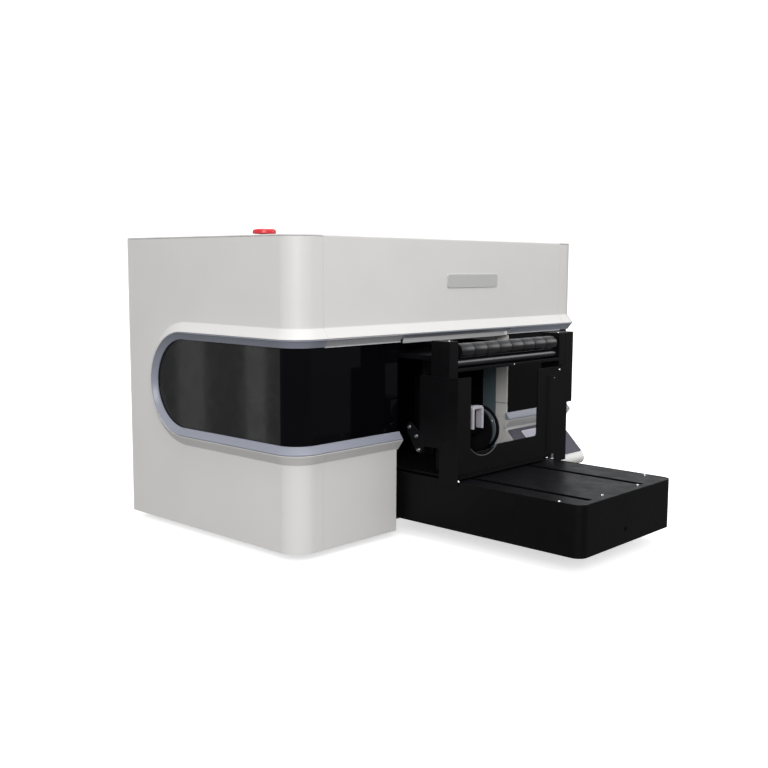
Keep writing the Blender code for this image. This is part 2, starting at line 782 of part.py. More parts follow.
def make_carriage():
    """The carriage: its back plate, slider, belt clamp and shelf, the heads, lamp and cover."""
    reach = (CARRIAGE_LEFT, CARRIAGE_RIGHT)
    frame = cuboid("carriage_frame", reach, (0.170, 0.176), (0.385, 0.520), "aluminium")
    shelf = cuboid("carriage_shelf", reach, (0.095, 0.1710), (0.385, 0.391))
    slider = cuboid("slider_block", (0.235, 0.305), (0.1750, 0.1967), (0.438, 0.477))
    clamp = cuboid("belt_clamp", (0.255, 0.285), (0.1750, 0.1857), (0.494, 0.504))
    groove = cuboid(
        "slider_groove",
        (0.20, 0.34),
        (0.1893, 0.21),
        (RAIL_Z[0] - 0.0006, RAIL_Z[1] + 0.0006),
    )
    join(frame, shelf, slider, clamp)
    cut(frame, groove)
    cuboid("print_heads", (0.205, 0.335), (0.105, 0.160), (HEAD_BOTTOM, 0.3847), "steel")
    cuboid("uv_lamp", (0.150, 0.1897), (0.100, 0.160), (0.362, 0.420), "aluminium")
    cover = cuboid("carriage_cover", (0.194, 0.346), (0.097, 0.1697), (0.3913, 0.500), "black_plastic")
    cut(cover, cuboid("cover_room", (0.196, 0.344), (0.099, 0.1677), (0.38, 0.498)))


def make_capping_station():
    """The pedestal under the parked heads and the cap that lifts to seal them."""
    stand = cuboid("capping_base", (0.215, 0.325), (0.100, 0.180), (0.0178, 0.3150), "black_plastic")
    cut(stand, cuboid("capping_room", (0.218, 0.322), (0.103, 0.177), (0.00, 0.3120)))
    cap = cuboid("capping_pad", (0.220, 0.320), (0.105, 0.165), (0.3153, 0.3440), "black_rubber")
    cut(cap, cuboid("cap_well", (0.224, 0.316), (0.109, 0.161), (0.335, 0.36)))


def make_supplies():
    """The ink rack in the left tower and the control box, open at the back, in the right one."""
    rack = cuboid("ink_rack", (-0.420, -0.200), (0.020, 0.195), (0.0178, 0.2600), "black_sheet")
    inside = ((-0.417, -0.203), (0.023, 0.192))
    cut(rack, cuboid("rack_room", *inside, (0.1500, 0.30)))
    cut(rack, cuboid("rack_underside", *inside, (0.0, 0.1470)))
    box = cuboid("control_box", (0.200, 0.410), (0.280, 0.420), (0.0178, 0.160), "steel")
    cut(box, cuboid("control_room", (0.202, 0.408), (0.282, 0.44), (0.0198, 0.158)))


def make_right_inner_wall():
    wall = (THROAT, THROAT + SHEET)
    cuboid("right_inner_wall", wall, (-0.0210, 0.400), (0.0178, INNER_WALL_TOP), "blue_grey_sheet")


def make_stop_button():
    """The emergency stop: a collar in the top cover, a stem that slides in it, and its head."""
    collar = [
        (0.0085, -0.025),
        (0.0085, 0.0022),
        (0.0180, 0.0022),
        (0.0185, GAP),
        (0.0115, GAP),
        (0.0115, -0.025),
        (0.0085, -0.025),
    ]
    turned("estop_collar", "Z", (STOP_X, STOP_Y, TOP), collar, "black_plastic", steps=24)
    rod("estop_stem", "Z", (STOP_X, STOP_Y, 0), (0.540, 0.5738), 0.0080, "black_plastic", sides=20)
    head = [
        (0, 0.0128),
        (0.0150, 0.0126),
        (0.0195, 0.0114),
        (0.0212, 0.0094),
        (0.0212, 0.0036),
        (0.0192, 0.0036),
        (0.0192, 0.0061),
        (0, 0.0061),
    ]
    turned("estop_head", "Z", (STOP_X, STOP_Y, TOP), head, "stop_red", steps=28)


def make_rear_fittings():
    """The rear fan's rotor, the mains inlet and its rocker switch."""
    hub = [(0, 0.012), (0.014, 0.012), (0.014, -0.010), (0, -0.010)]
    turned("rear_fan", "Y", (0.300, 0.432, 0.440), hub, "black_plastic", steps=20)
    blades = []
    for i in range(7):
        blade = cuboid(f"blade_{i}_fan", (0.010, 0.034), (-0.0012, 0.0012), (-0.006, 0.006))
        spin = Matrix.Rotation(math.tau * i / 7, 4, "Y")
        pitch = Matrix.Rotation(math.radians(38), 4, "X")
        blade.matrix_world = Matrix.Translation((0.300, 0.432, 0.440)) @ spin @ pitch
        blades.append(blade)
    join(bpy.data.objects["rear_fan"], *blades)
    inlet = cuboid("power_inlet", (0.315, 0.365), (0.428, BACK + 0.0002), (0.055, 0.085), "black_plastic")
    socket = cuboid("socket_hole", (0.319, 0.340), (0.440, 0.46), (0.060, 0.080))
    seat = cuboid("switch_seat", (0.3450, 0.3620), (0.440, 0.46), (0.0590, 0.0810))
    cut(inlet, socket, seat)
    pivot = (0.3535, BACK - 0.0042, 0.070)
    rocker = [(0, -0.0085), (0, 0.0085), (0.0046, 0.0085), (0.0038, 0), (0.0046, -0.0085)]
    outline = [(pivot[1] + y, pivot[2] + z) for y, z in rocker]
    prism("power_switch", outline, "X", (0.3460, 0.3610), "black_plastic", pivot)


def main():
    clear_scene()
    for hand, side in (("left", -1), ("right", 1)):
        make_side_shell(f"{hand}_side_shell", side)
        make_window(f"{hand}_window", side)
        make_trim(f"{hand}_trim", side)
    make_lower_left_panel()
    make_console()
    make_console_face()
    make_right_inner_wall()
    make_top_cover()
    make_rear_panel()
    make_front_cover()
    make_floor()
    make_base()
    make_y_drive()
    make_saddle()
    make_lower_frame()
    make_posts()
    make_platen()
    make_rollers()
    make_reel()
    make_tension_knob()
    make_portal()
    make_x_drive()
    make_carriage()
    make_capping_station()
    make_supplies()
    make_stop_button()
    make_rear_fittings()


main()
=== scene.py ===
"""The looks of a bench-top UV printer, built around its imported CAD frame.

Everything is in metres in the frame's own axes: +Z up, -Y towards the operator, +X to the
operator's right. Sizes come from the boxes of the CAD nodes, so a piece sits where its
solid sits.
"""

import math

import bmesh
import bpy
from mathutils import Matrix, Vector


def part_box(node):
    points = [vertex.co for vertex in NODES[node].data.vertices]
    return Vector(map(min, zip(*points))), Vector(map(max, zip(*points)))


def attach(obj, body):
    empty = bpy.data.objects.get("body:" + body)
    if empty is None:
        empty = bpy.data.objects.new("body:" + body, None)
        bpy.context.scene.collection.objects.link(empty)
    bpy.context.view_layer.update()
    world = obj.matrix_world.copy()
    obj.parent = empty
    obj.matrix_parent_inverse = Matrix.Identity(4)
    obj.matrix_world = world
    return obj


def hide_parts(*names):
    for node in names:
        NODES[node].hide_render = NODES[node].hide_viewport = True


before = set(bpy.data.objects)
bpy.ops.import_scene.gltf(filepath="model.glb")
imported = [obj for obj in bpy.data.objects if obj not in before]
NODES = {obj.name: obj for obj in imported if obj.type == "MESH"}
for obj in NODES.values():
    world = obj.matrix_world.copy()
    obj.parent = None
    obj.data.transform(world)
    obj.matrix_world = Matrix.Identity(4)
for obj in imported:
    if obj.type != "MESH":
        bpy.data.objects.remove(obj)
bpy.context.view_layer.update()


def low(node):
    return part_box(node)[0]


def high(node):
    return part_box(node)[1]


def middle_of(node):
    return (low(node) + high(node)) / 2


def spans(node):
    """The places where the node's box starts and ends, along X, along Y and along Z."""
    return list(zip(*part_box(node)))


# The casing, read from the frame.
HALF_WIDTH = high("top_cover").x
FRONT = low("top_cover").y
BACK = high("top_cover").y
TOP = high("top_cover").z
SHEET = TOP - low("top_cover").z
BOTTOM = low("left_side_shell").z
SIDE_TOP = high("left_side_shell").z
SIDE_BACK = high("left_side_shell").y
CREST = high("right_side_shell").x - HALF_WIDTH
CREST_TOP = low("front_cover").z
GAP = CREST_TOP - high("left_trim").z
CREST_BOTTOM = low("left_trim").z - GAP
SEAM = high("front_cover").x + GAP
THROAT = low("right_inner_wall").x
TRIM_START = low("right_trim").x
CORNER = 0.042
CHAMFER = 0.018
TRIM_WIDTH = 0.015
TRIM_TAPER = 0.45
GLASS_DEPTH = 0.0015
WINDOW_MIDDLE = (CREST_TOP + CREST_BOTTOM) / 2
WINDOW_RADIUS = (CREST_TOP - CREST_BOTTOM) / 2
WINDOW_END = high("left_trim").y - WINDOW_RADIUS + GAP

# How finely the round stretches are cut.
CORNER_STEPS = 24
TIP_STEPS = 48


# ---------------------------------------------------------------- outlines


def arc(centre, radius, start, end, steps):
    """Points along an arc, angles in degrees."""
    points = []
    for i in range(steps + 1):
        angle = math.radians(start + (end - start) * i / steps)
        across = centre[0] + radius * math.cos(angle)
        up = centre[1] + radius * math.sin(angle)
        points.append((across, up))
    return points


def curve(start, pull, end, steps):
    """Points from start to end that leave and arrive along the lines to pull."""
    start, pull, end = Vector(start), Vector(pull), Vector(end)
    points = []
    for i in range(steps + 1):
        t = i / steps
        points.append(tuple(start * (1 - t) ** 2 + pull * 2 * t * (1 - t) + end * t * t))
    return points


def rounded(points, radius, steps=5):
    """A closed outline with its corners as arcs. radius is one number, or one per corner."""
    made = []
    for i, point in enumerate(points):
        wanted = radius[i] if isinstance(radius, (list, tuple)) else radius
        here = Vector(point)
        before = Vector(points[i - 1]) - here
        after = Vector(points[(i + 1) % len(points)]) - here
        half = before.angle(after) / 2
        if wanted <= 0 or half > math.radians(89):
            made.append(tuple(here))
            continue
        reach = min(wanted / math.tan(half), 0.49 * min(before.length, after.length))
        bend = reach * math.tan(half)
        middle = (before.normalized() + after.normalized()).normalized()
        centre = here + middle * (bend / math.sin(half))
        start = here + before.normalized() * reach - centre
        end = here + after.normalized() * reach - centre
        first = math.atan2(start.y, start.x)
        turn = (math.atan2(end.y, end.x) - first + math.pi) % math.tau - math.pi
        made += arc(centre, bend, math.degrees(first), math.degrees(first + turn), steps)
    return made


def rectangle(across, up):
    """An outline between two places along each of its axes."""
    return [(across[0], up[0]), (across[1], up[0]), (across[1], up[1]), (across[0], up[1])]


def stadium(radius, start):
    """A window's outline seen from the side: straight from the front, round at its rear end."""
    tip = arc((WINDOW_END, WINDOW_MIDDLE), radius, -90, 90, TIP_STEPS)
    return [(start, WINDOW_MIDDLE - radius), *tip, (start, WINDOW_MIDDLE + radius)]


# ---------------------------------------------------------------- materials


def node(tree, kind, **settings):
    made = tree.nodes.new(kind)
    for key, value in settings.items():
        setattr(made, key, value)
    return made


def noise(tree, coordinates, scale, detail=3.0, stretch=(1, 1, 1)):
    mapping = node(tree, "ShaderNodeMapping")
    mapping.inputs["Scale"].default_value = stretch
    tree.links.new(coordinates, mapping.inputs["Vector"])
    made = node(tree, "ShaderNodeTexNoise")
    made.inputs["Scale"].default_value = scale
    made.inputs["Detail"].default_value = detail
    tree.links.new(mapping.outputs["Vector"], made.inputs["Vector"])
    return made.outputs["Fac"]


def spread(tree, value, to_low, to_high, from_low=0.35, from_high=0.65):
    made = node(tree, "ShaderNodeMapRange")
    made.inputs["From Min"].default_value = from_low
    made.inputs["From Max"].default_value = from_high
    made.inputs["To Min"].default_value = to_low
    made.inputs["To Max"].default_value = to_high
    tree.links.new(value, made.inputs["Value"])
    return made.outputs["Result"]


def blend_colours(tree, share, first, second):
    """first and second are colours or sockets."""
    made = node(tree, "ShaderNodeMix", data_type="RGBA")
    tree.links.new(share, made.inputs[0])
    for slot, colour in ((6, first), (7, second)):
        if isinstance(colour, bpy.types.NodeSocket):
            tree.links.new(colour, made.inputs[slot])
        else:
            made.inputs[slot].default_value = (*colour, 1.0)
    return made.outputs[2]


def edge_mask(tree, radius, strength):
    """High where the surface bends within radius: edges that hands and tools rub."""
    soft = node(tree, "ShaderNodeBevel", samples=4)
    soft.inputs["Radius"].default_value = radius
    plain = node(tree, "ShaderNodeNewGeometry")
    dot = node(tree, "ShaderNodeVectorMath", operation="DOT_PRODUCT")
    tree.links.new(soft.outputs["Normal"], dot.inputs[0])
    tree.links.new(plain.outputs["Normal"], dot.inputs[1])
    return spread(tree, dot.outputs["Value"], strength, 0.0, 0.80, 0.985)


CLOUD_SCALE = 9.0
SMUDGE_SCALE = 45.0
WORN_WIDTH = 0.0009
COAT_ROUGHNESS = 0.12


def surface(
    name,
    colour,
    roughness,
    metallic=0.0,
    specular=0.5,
    coat=0.0,
    alpha=1.0,
    mottle=0.03,
    vary=0.05,
    grain=1200.0,
    grain_height=0.00002,
    stretch=(1, 1, 1),
    worn=0.0,
    worn_colour=(0.30, 0.30, 0.31),
):
    """A finish with cloudy colour and gloss, a fine grain, and edges that are worn or not."""
    made = bpy.data.materials.new(name)
    made.use_nodes = True
    made.diffuse_color = (*colour, 1.0)
    tree = made.node_tree
    shader = tree.nodes["Principled BSDF"]
    shader.inputs["Metallic"].default_value = metallic
    shader.inputs["Specular IOR Level"].default_value = specular
    shader.inputs["Coat Weight"].default_value = coat
    shader.inputs["Coat Roughness"].default_value = COAT_ROUGHNESS
    shader.inputs["Alpha"].default_value = alpha
    coordinates = node(tree, "ShaderNodeTexCoord").outputs["Object"]
    cloud = noise(tree, coordinates, CLOUD_SCALE, 4.0)
    dark = tuple(c * (1 - mottle) for c in colour)
    pale = tuple(min(1.0, c * (1 + mottle)) for c in colour)
    paint = blend_colours(tree, spread(tree, cloud, 0.0, 1.0), dark, pale)
    if worn > 0:
        rubbed = edge_mask(tree, WORN_WIDTH, worn)
        paint = blend_colours(tree, rubbed, paint, worn_colour)
    tree.links.new(paint, shader.inputs["Base Color"])
    smudge = noise(tree, coordinates, SMUDGE_SCALE, 5.0, stretch)
    gloss = spread(tree, smudge, max(0.02, roughness - vary), roughness + vary)
    tree.links.new(gloss, shader.inputs["Roughness"])
    fine = noise(tree, coordinates, grain, 2.0, stretch)
    bump = node(tree, "ShaderNodeBump")
    bump.inputs["Strength"].default_value = 1.0
    bump.inputs["Distance"].default_value = grain_height
    tree.links.new(fine, bump.inputs["Height"])
    tree.links.new(bump.outputs["Normal"], shader.inputs["Normal"])
    return made


LOOKS = {
    "shell": surface(
        "white_satin_paint", (0.79, 0.776, 0.756), 0.42, coat=0.10, mottle=0.012, vary=0.03, grain=700,
        grain_height=0.00001,
    ),
    "trim": surface(
        "slate_gloss", (0.30, 0.315, 0.375), 0.34, coat=0.1, mottle=0.01, vary=0.02, grain=900,
        grain_height=0.000006,
    ),
    "hood_grey": surface("hood_grey", (0.40, 0.40, 0.415), 0.36, coat=0.1, mottle=0.01, vary=0.02),
    "plate_blank": surface("satin_nickel", (0.64, 0.636, 0.628), 0.36, metallic=0.25, mottle=0.02),
    "lip": surface("pale_edge", (0.66, 0.66, 0.67), 0.35, mottle=0.02),
    "strip": surface("grey_satin_paint", (0.52, 0.52, 0.52), 0.40, mottle=0.02),
    # The windows' acrylic comes in two copies. This lighter, more reflective, see-through one on their
    # sides is painted reflection. A darker, duller, opaque one on their fronts is painted shade.
    "smoked_lit_copy": surface(
        "smoked_acrylic_lit_copy", (0.020, 0.020, 0.020), 0.07, specular=0.5, alpha=0.84, mottle=0.1, vary=0.025,
        grain=60, grain_height=0.000004,
    ),
    # A near-black, dull finish for a sheet deep in the opening: painted shade.
    "painted_shade_sheet": surface("black_painted_shade", (0.004, 0.004, 0.005), 0.6, specular=0.1),
    "roller": surface(
        "roller_black", (0.010, 0.010, 0.013), 0.20, specular=0.7, mottle=0.02, vary=0.02, grain=900,
        grain_height=0.000003,
    ),
    "grey_ring": surface("ring_grey", (0.10, 0.125, 0.135), 0.30, specular=0.6),
    "guide": surface("guide_silver", (0.66, 0.64, 0.70), 0.32, metallic=0.4, mottle=0.03),
    "sleeve": surface(
        "gloss_rubber", (0.0085, 0.0085, 0.0100), 0.24, specular=0.55, mottle=0.05, vary=0.03,
        grain=1400, grain_height=0.000005,
    ),
    # The darker, opaque copy of the smoked acrylic on the windows' fronts: painted shade.
    "smoked_shaded_copy": surface(
        "smoked_acrylic_shaded_copy", (0.002, 0.002, 0.003), 0.06, specular=0.16, mottle=0.1, vary=0.02, grain=60,
        grain_height=0.000004,
    ),
    "black": surface(
        "black_powder_coat", (0.0040, 0.0040, 0.0046), 0.45, specular=0.10, mottle=0.12, vary=0.06,
        grain=1500, grain_height=0.00003, worn=0.12, worn_colour=(0.07, 0.07, 0.075),
    ),
    "plate": surface(
        "black_anodised", (0.0046, 0.0046, 0.0056), 0.38, specular=0.13, mottle=0.08, vary=0.05,
        grain=900, grain_height=0.000008, worn=0.15, worn_colour=(0.10, 0.10, 0.11),
    ),
    "blue_grey": surface("blue_grey_paint", (0.13, 0.175, 0.20), 0.42, mottle=0.04),
    "console": surface(
        "console_lilac", (0.066, 0.061, 0.090), 0.50, mottle=0.03, grain=2200, grain_height=0.00004,
    ),
    "display": surface("display_pane", (0.56, 0.56, 0.66), 0.12, coat=0.4, mottle=0.01),
    "display_edge": surface("display_edge", (0.82, 0.82, 0.86), 0.25),
    "steel": surface(
        "ground_steel", (0.56, 0.56, 0.57), 0.28, metallic=1.0, mottle=0.05, vary=0.08, grain=800,
        grain_height=0.000008, stretch=(1, 1, 14),
    ),
    "dull": surface("dull_steel", (0.36, 0.36, 0.38), 0.38, metallic=1.0, mottle=0.06),
    "bright": surface("nickel", (0.80, 0.80, 0.80), 0.16, metallic=1.0, mottle=0.04),
    "aluminium": surface(
        "satin_aluminium", (0.74, 0.74, 0.76), 0.34, metallic=1.0, mottle=0.03, vary=0.06, grain=900,
        grain_height=0.00001, stretch=(1, 12, 1),
    ),
    "rubber": surface(
        "black_rubber", (0.020, 0.020, 0.022), 0.55, specular=0.35, mottle=0.15, vary=0.08, grain=2600,
        grain_height=0.00005,
    ),
    "plastic": surface(
        "black_plastic", (0.022, 0.022, 0.024), 0.42, specular=0.4, mottle=0.08, grain=1800,
        grain_height=0.00003,
    ),
    "red": surface(
        "stop_red", (0.60, 0.018, 0.026), 0.32, coat=0.2, mottle=0.04, grain=900, grain_height=0.00001,
    ),
    "ink_cap": surface("red_cap", (0.45, 0.02, 0.03), 0.40, mottle=0.05),
    # A grey finish lighter than the black sheet, for the notch's rim: painted highlight.
    "notch_highlight": surface("grey_painted_highlight", (0.060, 0.060, 0.062), 0.35, specular=0.5, mottle=0.05),
    "groove": surface("roller_groove", (0.004, 0.004, 0.005), 0.60, specular=0.1, mottle=0.05),
}


# ---------------------------------------------------------------- building pieces


def place(obj, look, body, replaces=()):
    """Gives a new piece its finish, its CAD body and the nodes it stands for."""
    obj.data.materials.clear()
    obj.data.materials.append(LOOKS[look])
    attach(obj, body)
    if replaces:
        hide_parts(*replaces)
    return obj


def to_object(name, mesh_data):
    bmesh.ops.recalc_face_normals(mesh_data, faces=mesh_data.faces)
    mesh = bpy.data.meshes.new(name)
    mesh_data.to_mesh(mesh)
    mesh_data.free()
    obj = bpy.data.objects.new(name, mesh)
    bpy.context.scene.collection.objects.link(obj)
    return obj


def prism(name, outline, axis, span, holes=()):
    """A flat outline, with holes, pushed along X, Y or Z. Points give the other two axes."""
    index = "XYZ".index(axis)
    mesh_data = bmesh.new()
    edges = []
    for loop in (outline, *holes):
        corners = []
        for point in loop:
            spot = list(point)
            spot.insert(index, span[0])
            corners.append(mesh_data.verts.new(spot))
        for first, second in zip(corners, corners[1:] + corners[:1]):
            edges.append(mesh_data.edges.new((first, second)))
    if holes:
        bmesh.ops.triangle_fill(mesh_data, use_beauty=True, use_dissolve=False, edges=edges)
    else:
        mesh_data.faces.new(corners)
    pushed = bmesh.ops.extrude_face_region(mesh_data, geom=list(mesh_data.faces))["geom"]
    moved = [item for item in pushed if isinstance(item, bmesh.types.BMVert)]
    push = Vector((0, 0, 0))
    push[index] = span[1] - span[0]
    bmesh.ops.translate(mesh_data, verts=moved, vec=push)
    return to_object(name, mesh_data)


def block(name, x, y, z):
    """A box between two places along each axis."""
    return prism(name, rectangle(x, y), "Z", z)


def carve(obj, others, operation="DIFFERENCE"):
    """Cuts, joins or crosses obj with the others, which are used up."""
    for other in others:
        boolean = obj.modifiers.new("carve", "BOOLEAN")
        boolean.object = other
        boolean.operation = operation
        boolean.solver = "EXACT"
    graph = bpy.context.evaluated_depsgraph_get()
    mesh = bpy.data.meshes.new_from_object(obj.evaluated_get(graph))
    obj.modifiers.clear()
    obj.data = mesh
    for other in others:
        bpy.data.objects.remove(other)
    return obj


def crease(obj, angle):
    """Shades a piece smooth, and keeps its edges sharp where they bend by more than angle."""
    obj.data.shade_smooth()
    obj.data.set_sharp_from_angle(angle=math.radians(angle))
    return obj


def soften(obj, width=0.0006, segments=3, angle=32):
    """Rounds the sharp edges, and shades the rest smooth with flat faces kept flat."""
    obj.data.shade_smooth()
    bevel = obj.modifiers.new("soften", "BEVEL")
    bevel.width = width
    bevel.segments = segments
    bevel.limit_method = "ANGLE"
    bevel.angle_limit = math.radians(angle)
    bevel.miter_outer = "MITER_ARC"
    weighted = obj.modifiers.new("flat_faces", "WEIGHTED_NORMAL")
    weighted.keep_sharp = True
    return obj


def keep(name, look, width):
    """A CAD node that stays: a better finish, and edges rounded by modifiers."""
    obj = NODES[name]
    mesh = obj.data
    mesh.materials.clear()
    mesh.materials.append(LOOKS[look])
    if "custom_normal" in mesh.attributes:
        mesh.attributes.remove(mesh.attributes["custom_normal"])
    weld = obj.modifiers.new("weld", "WELD")
    weld.merge_threshold = 0.00001
    merge = obj.modifiers.new("merge_flats", "DECIMATE")
    merge.decimate_type = "DISSOLVE"
    merge.angle_limit = math.radians(0.5)
    soften(obj, width, 2)


def tube(name, points, radius, resolution=6, cyclic=False):
    """A round bar or hose along a smooth line through the points."""
    line = bpy.data.curves.new(name, "CURVE")
    line.dimensions = "3D"
    line.bevel_depth = radius
    line.bevel_resolution = 3
    line.use_fill_caps = True
    line.resolution_u = resolution
    spline = line.splines.new("BEZIER")
    spline.bezier_points.add(len(points) - 1)
    for point, spot in zip(spline.bezier_points, points):
        point.co = spot
        point.handle_left_type = "AUTO"
        point.handle_right_type = "AUTO"
    spline.use_cyclic_u = cyclic
    obj = bpy.data.objects.new(name, line)
    bpy.context.scene.collection.objects.link(obj)
    graph = bpy.context.evaluated_depsgraph_get()
    mesh = bpy.data.meshes.new_from_object(obj.evaluated_get(graph))
    bpy.data.objects.remove(obj)
    made = bpy.data.objects.new(name, mesh)
    bpy.context.scene.collection.objects.link(made)
    mesh.shade_smooth()
    return made


def turn_to(axis):
    """The rotation that takes +Z to the axis."""
    return Vector((0, 0, 1)).rotation_difference(Vector(axis)).to_matrix().to_4x4()


def lathe(mesh_data, profile, matrix, steps=32):
    """Adds a turned solid. profile is (radius, along) or (radius, along, 6) for a hexagon."""
    rings = []
    for radius, along, *sides in profile:
        if radius == 0:
            rings.append([mesh_data.verts.new(matrix @ Vector((0, 0, along)))])
            continue
        ring = []
        for i in range(steps):
            angle = math.tau * i / steps
            wide = radius
            if sides:
                wide = radius / math.cos(angle % (math.pi / 3) - math.pi / 6)
            spot = Vector((wide * math.cos(angle), wide * math.sin(angle), along))
            ring.append(mesh_data.verts.new(matrix @ spot))
        rings.append(ring)
    for first, second in zip(rings, rings[1:]):
        for i in range(steps):
            j = (i + 1) % steps
            corners = [first[i % len(first)], first[j % len(first)]]
            corners += [second[j % len(second)], second[i % len(second)]]
            unique = list(dict.fromkeys(corners))
            if len(unique) > 2:
                mesh_data.faces.new(unique)


def turned(name, centre, axis, profile, steps=48):
    """One turned piece on an axis. profile runs from the axis out and back to it."""
    mesh_data = bmesh.new()
    lathe(mesh_data, profile, Matrix.Translation(centre) @ turn_to(axis), steps)
    return crease(to_object(name, mesh_data), 30)


def screws(name, body, spots, axis, radius, height, look="bright"):
    """Round-headed socket screws of a body, standing on their spots and facing along axis."""
    socket = radius * 0.48
    profile = [
        (0, -0.0004),
        (radius, -0.0004),
        (radius, height * 0.30),
        (radius * 0.93, height * 0.62),
        (radius * 0.72, height * 0.92),
        (radius * 0.60, height),
        (socket, height, 6),
        (socket, height * 0.25, 6),
        (0, height * 0.20),
    ]
    mesh_data = bmesh.new()
    for spot in spots:
        lathe(mesh_data, profile, Matrix.Translation(spot) @ turn_to(axis), 24)
    place(crease(to_object(name, mesh_data), 35), look, body)


# ---------------------------------------------------------------- casing

CORNER_START = HALF_WIDTH - CORNER
CORNER_LENGTH = CORNER * math.pi / 2
SIDE_START = CORNER_START + CORNER_LENGTH


def skin(s, depth, side):
    """The point at distance s round the casing from its middle line, depth outside its skin."""
    if s <= CORNER_START:
        x, y = s, FRONT - depth
    elif s <= SIDE_START:
        angle = (s - CORNER_START) / CORNER
        x = CORNER_START + (CORNER + depth) * math.sin(angle)
        y = FRONT + CORNER - (CORNER + depth) * math.cos(angle)
    else:
        x, y = HALF_WIDTH + depth, FRONT + CORNER + s - SIDE_START
    return side * x, y


def surround_path(start, end):
    """(s, z, outward s, outward z) along the crest: front, corner, side, round end and back."""
    corner = [
        CORNER_START + CORNER_LENGTH * i / CORNER_STEPS for i in range(CORNER_STEPS + 1)
    ]
    tip = SIDE_START + WINDOW_END - FRONT - CORNER
    path = [(s, CREST_BOTTOM, 0, -1) for s in [start, *corner]]
    for i in range(TIP_STEPS + 1):
        angle = math.radians(-90 + 180 * i / TIP_STEPS)
        out = (math.cos(angle), math.sin(angle))
        s = tip + WINDOW_RADIUS * out[0]
        path.append((s, WINDOW_MIDDLE + WINDOW_RADIUS * out[1], *out))
    path += [(s, CREST_TOP, 0, 1) for s in [*reversed(corner), end]]
    return path


def sweep(name, section, start, end, side, taper=0.0):
    """Carries a section along a window's crest, narrower by taper at its round end's tip."""
    mesh_data = bmesh.new()
    rings = []
    for s, z, out_s, out_z in surround_path(start, end):
        ring = []
        for wide, depth in section:
            outward = wide * (1 - taper * abs(out_s))
            x, y = skin(s + outward * out_s, depth, side)
            ring.append(mesh_data.verts.new((x, y, z + outward * out_z)))
        rings.append(ring)
    count = len(section)
    for near, far in zip(rings, rings[1:]):
        for i in range(count):
            j = (i + 1) % count
            mesh_data.faces.new((near[i], near[j], far[j], far[i]))
    mesh_data.faces.new(list(reversed(rings[0])))
    mesh_data.faces.new(rings[-1])
    return to_object(name, mesh_data)


def plan_corner(inset, from_x, to_y):
    """The casing's plan line on the left: along the front, round the corner, down the side."""
    centre = (-CORNER_START, FRONT + CORNER)
    bend = arc(centre, CORNER - inset, 270, 180, CORNER_STEPS)
    return [(-from_x, FRONT + inset), *bend, (-HALF_WIDTH + inset, to_y)]


def mirrored(points, side):
    return [(-side * x, y) for x, y in points]


# The surround's chamfer, from its root on the skin to its crest, as (outward, depth).
ROOT_START = (CHAMFER + 0.0012, 0.0001)
ROOT = curve(ROOT_START, (CHAMFER - 0.0002, 0.0001), (CHAMFER - 0.0014, 0.0013), 5)
CREST_EDGE = curve((0.0020, CREST - 0.0015), (0, CREST), (0, CREST - 0.0018), 4)
RIDGE = [*ROOT, *CREST_EDGE, (0, -0.0014), (CHAMFER + 0.0011, -0.0014)]

# The inner band: a rounded bead below the crest, a hollowed slope, a rounded foot.
BEAD = curve((-GAP, CREST - 0.0030), (-GAP, CREST - 0.0004), (-0.0022, CREST - 0.0011), 4)
SLOPE = curve((-0.0026, CREST - 0.0021), (-0.0080, 0.0066), (-TRIM_WIDTH + 0.0012, 0.0030), 6)
FOOT = curve((-TRIM_WIDTH + 0.0006, 0.0027), (-TRIM_WIDTH, 0.0024), (-TRIM_WIDTH, 0.0014), 3)
BAND = [(-GAP, GAP), *BEAD, *SLOPE, *FOOT, (-TRIM_WIDTH, GAP)]


# Where cutters and panes end: outside the side, ahead of the front, behind the round end.
PAST_SIDE = HALF_WIDTH + 0.03
PAST_FRONT = -0.1
PAST_WINDOW = 0.40


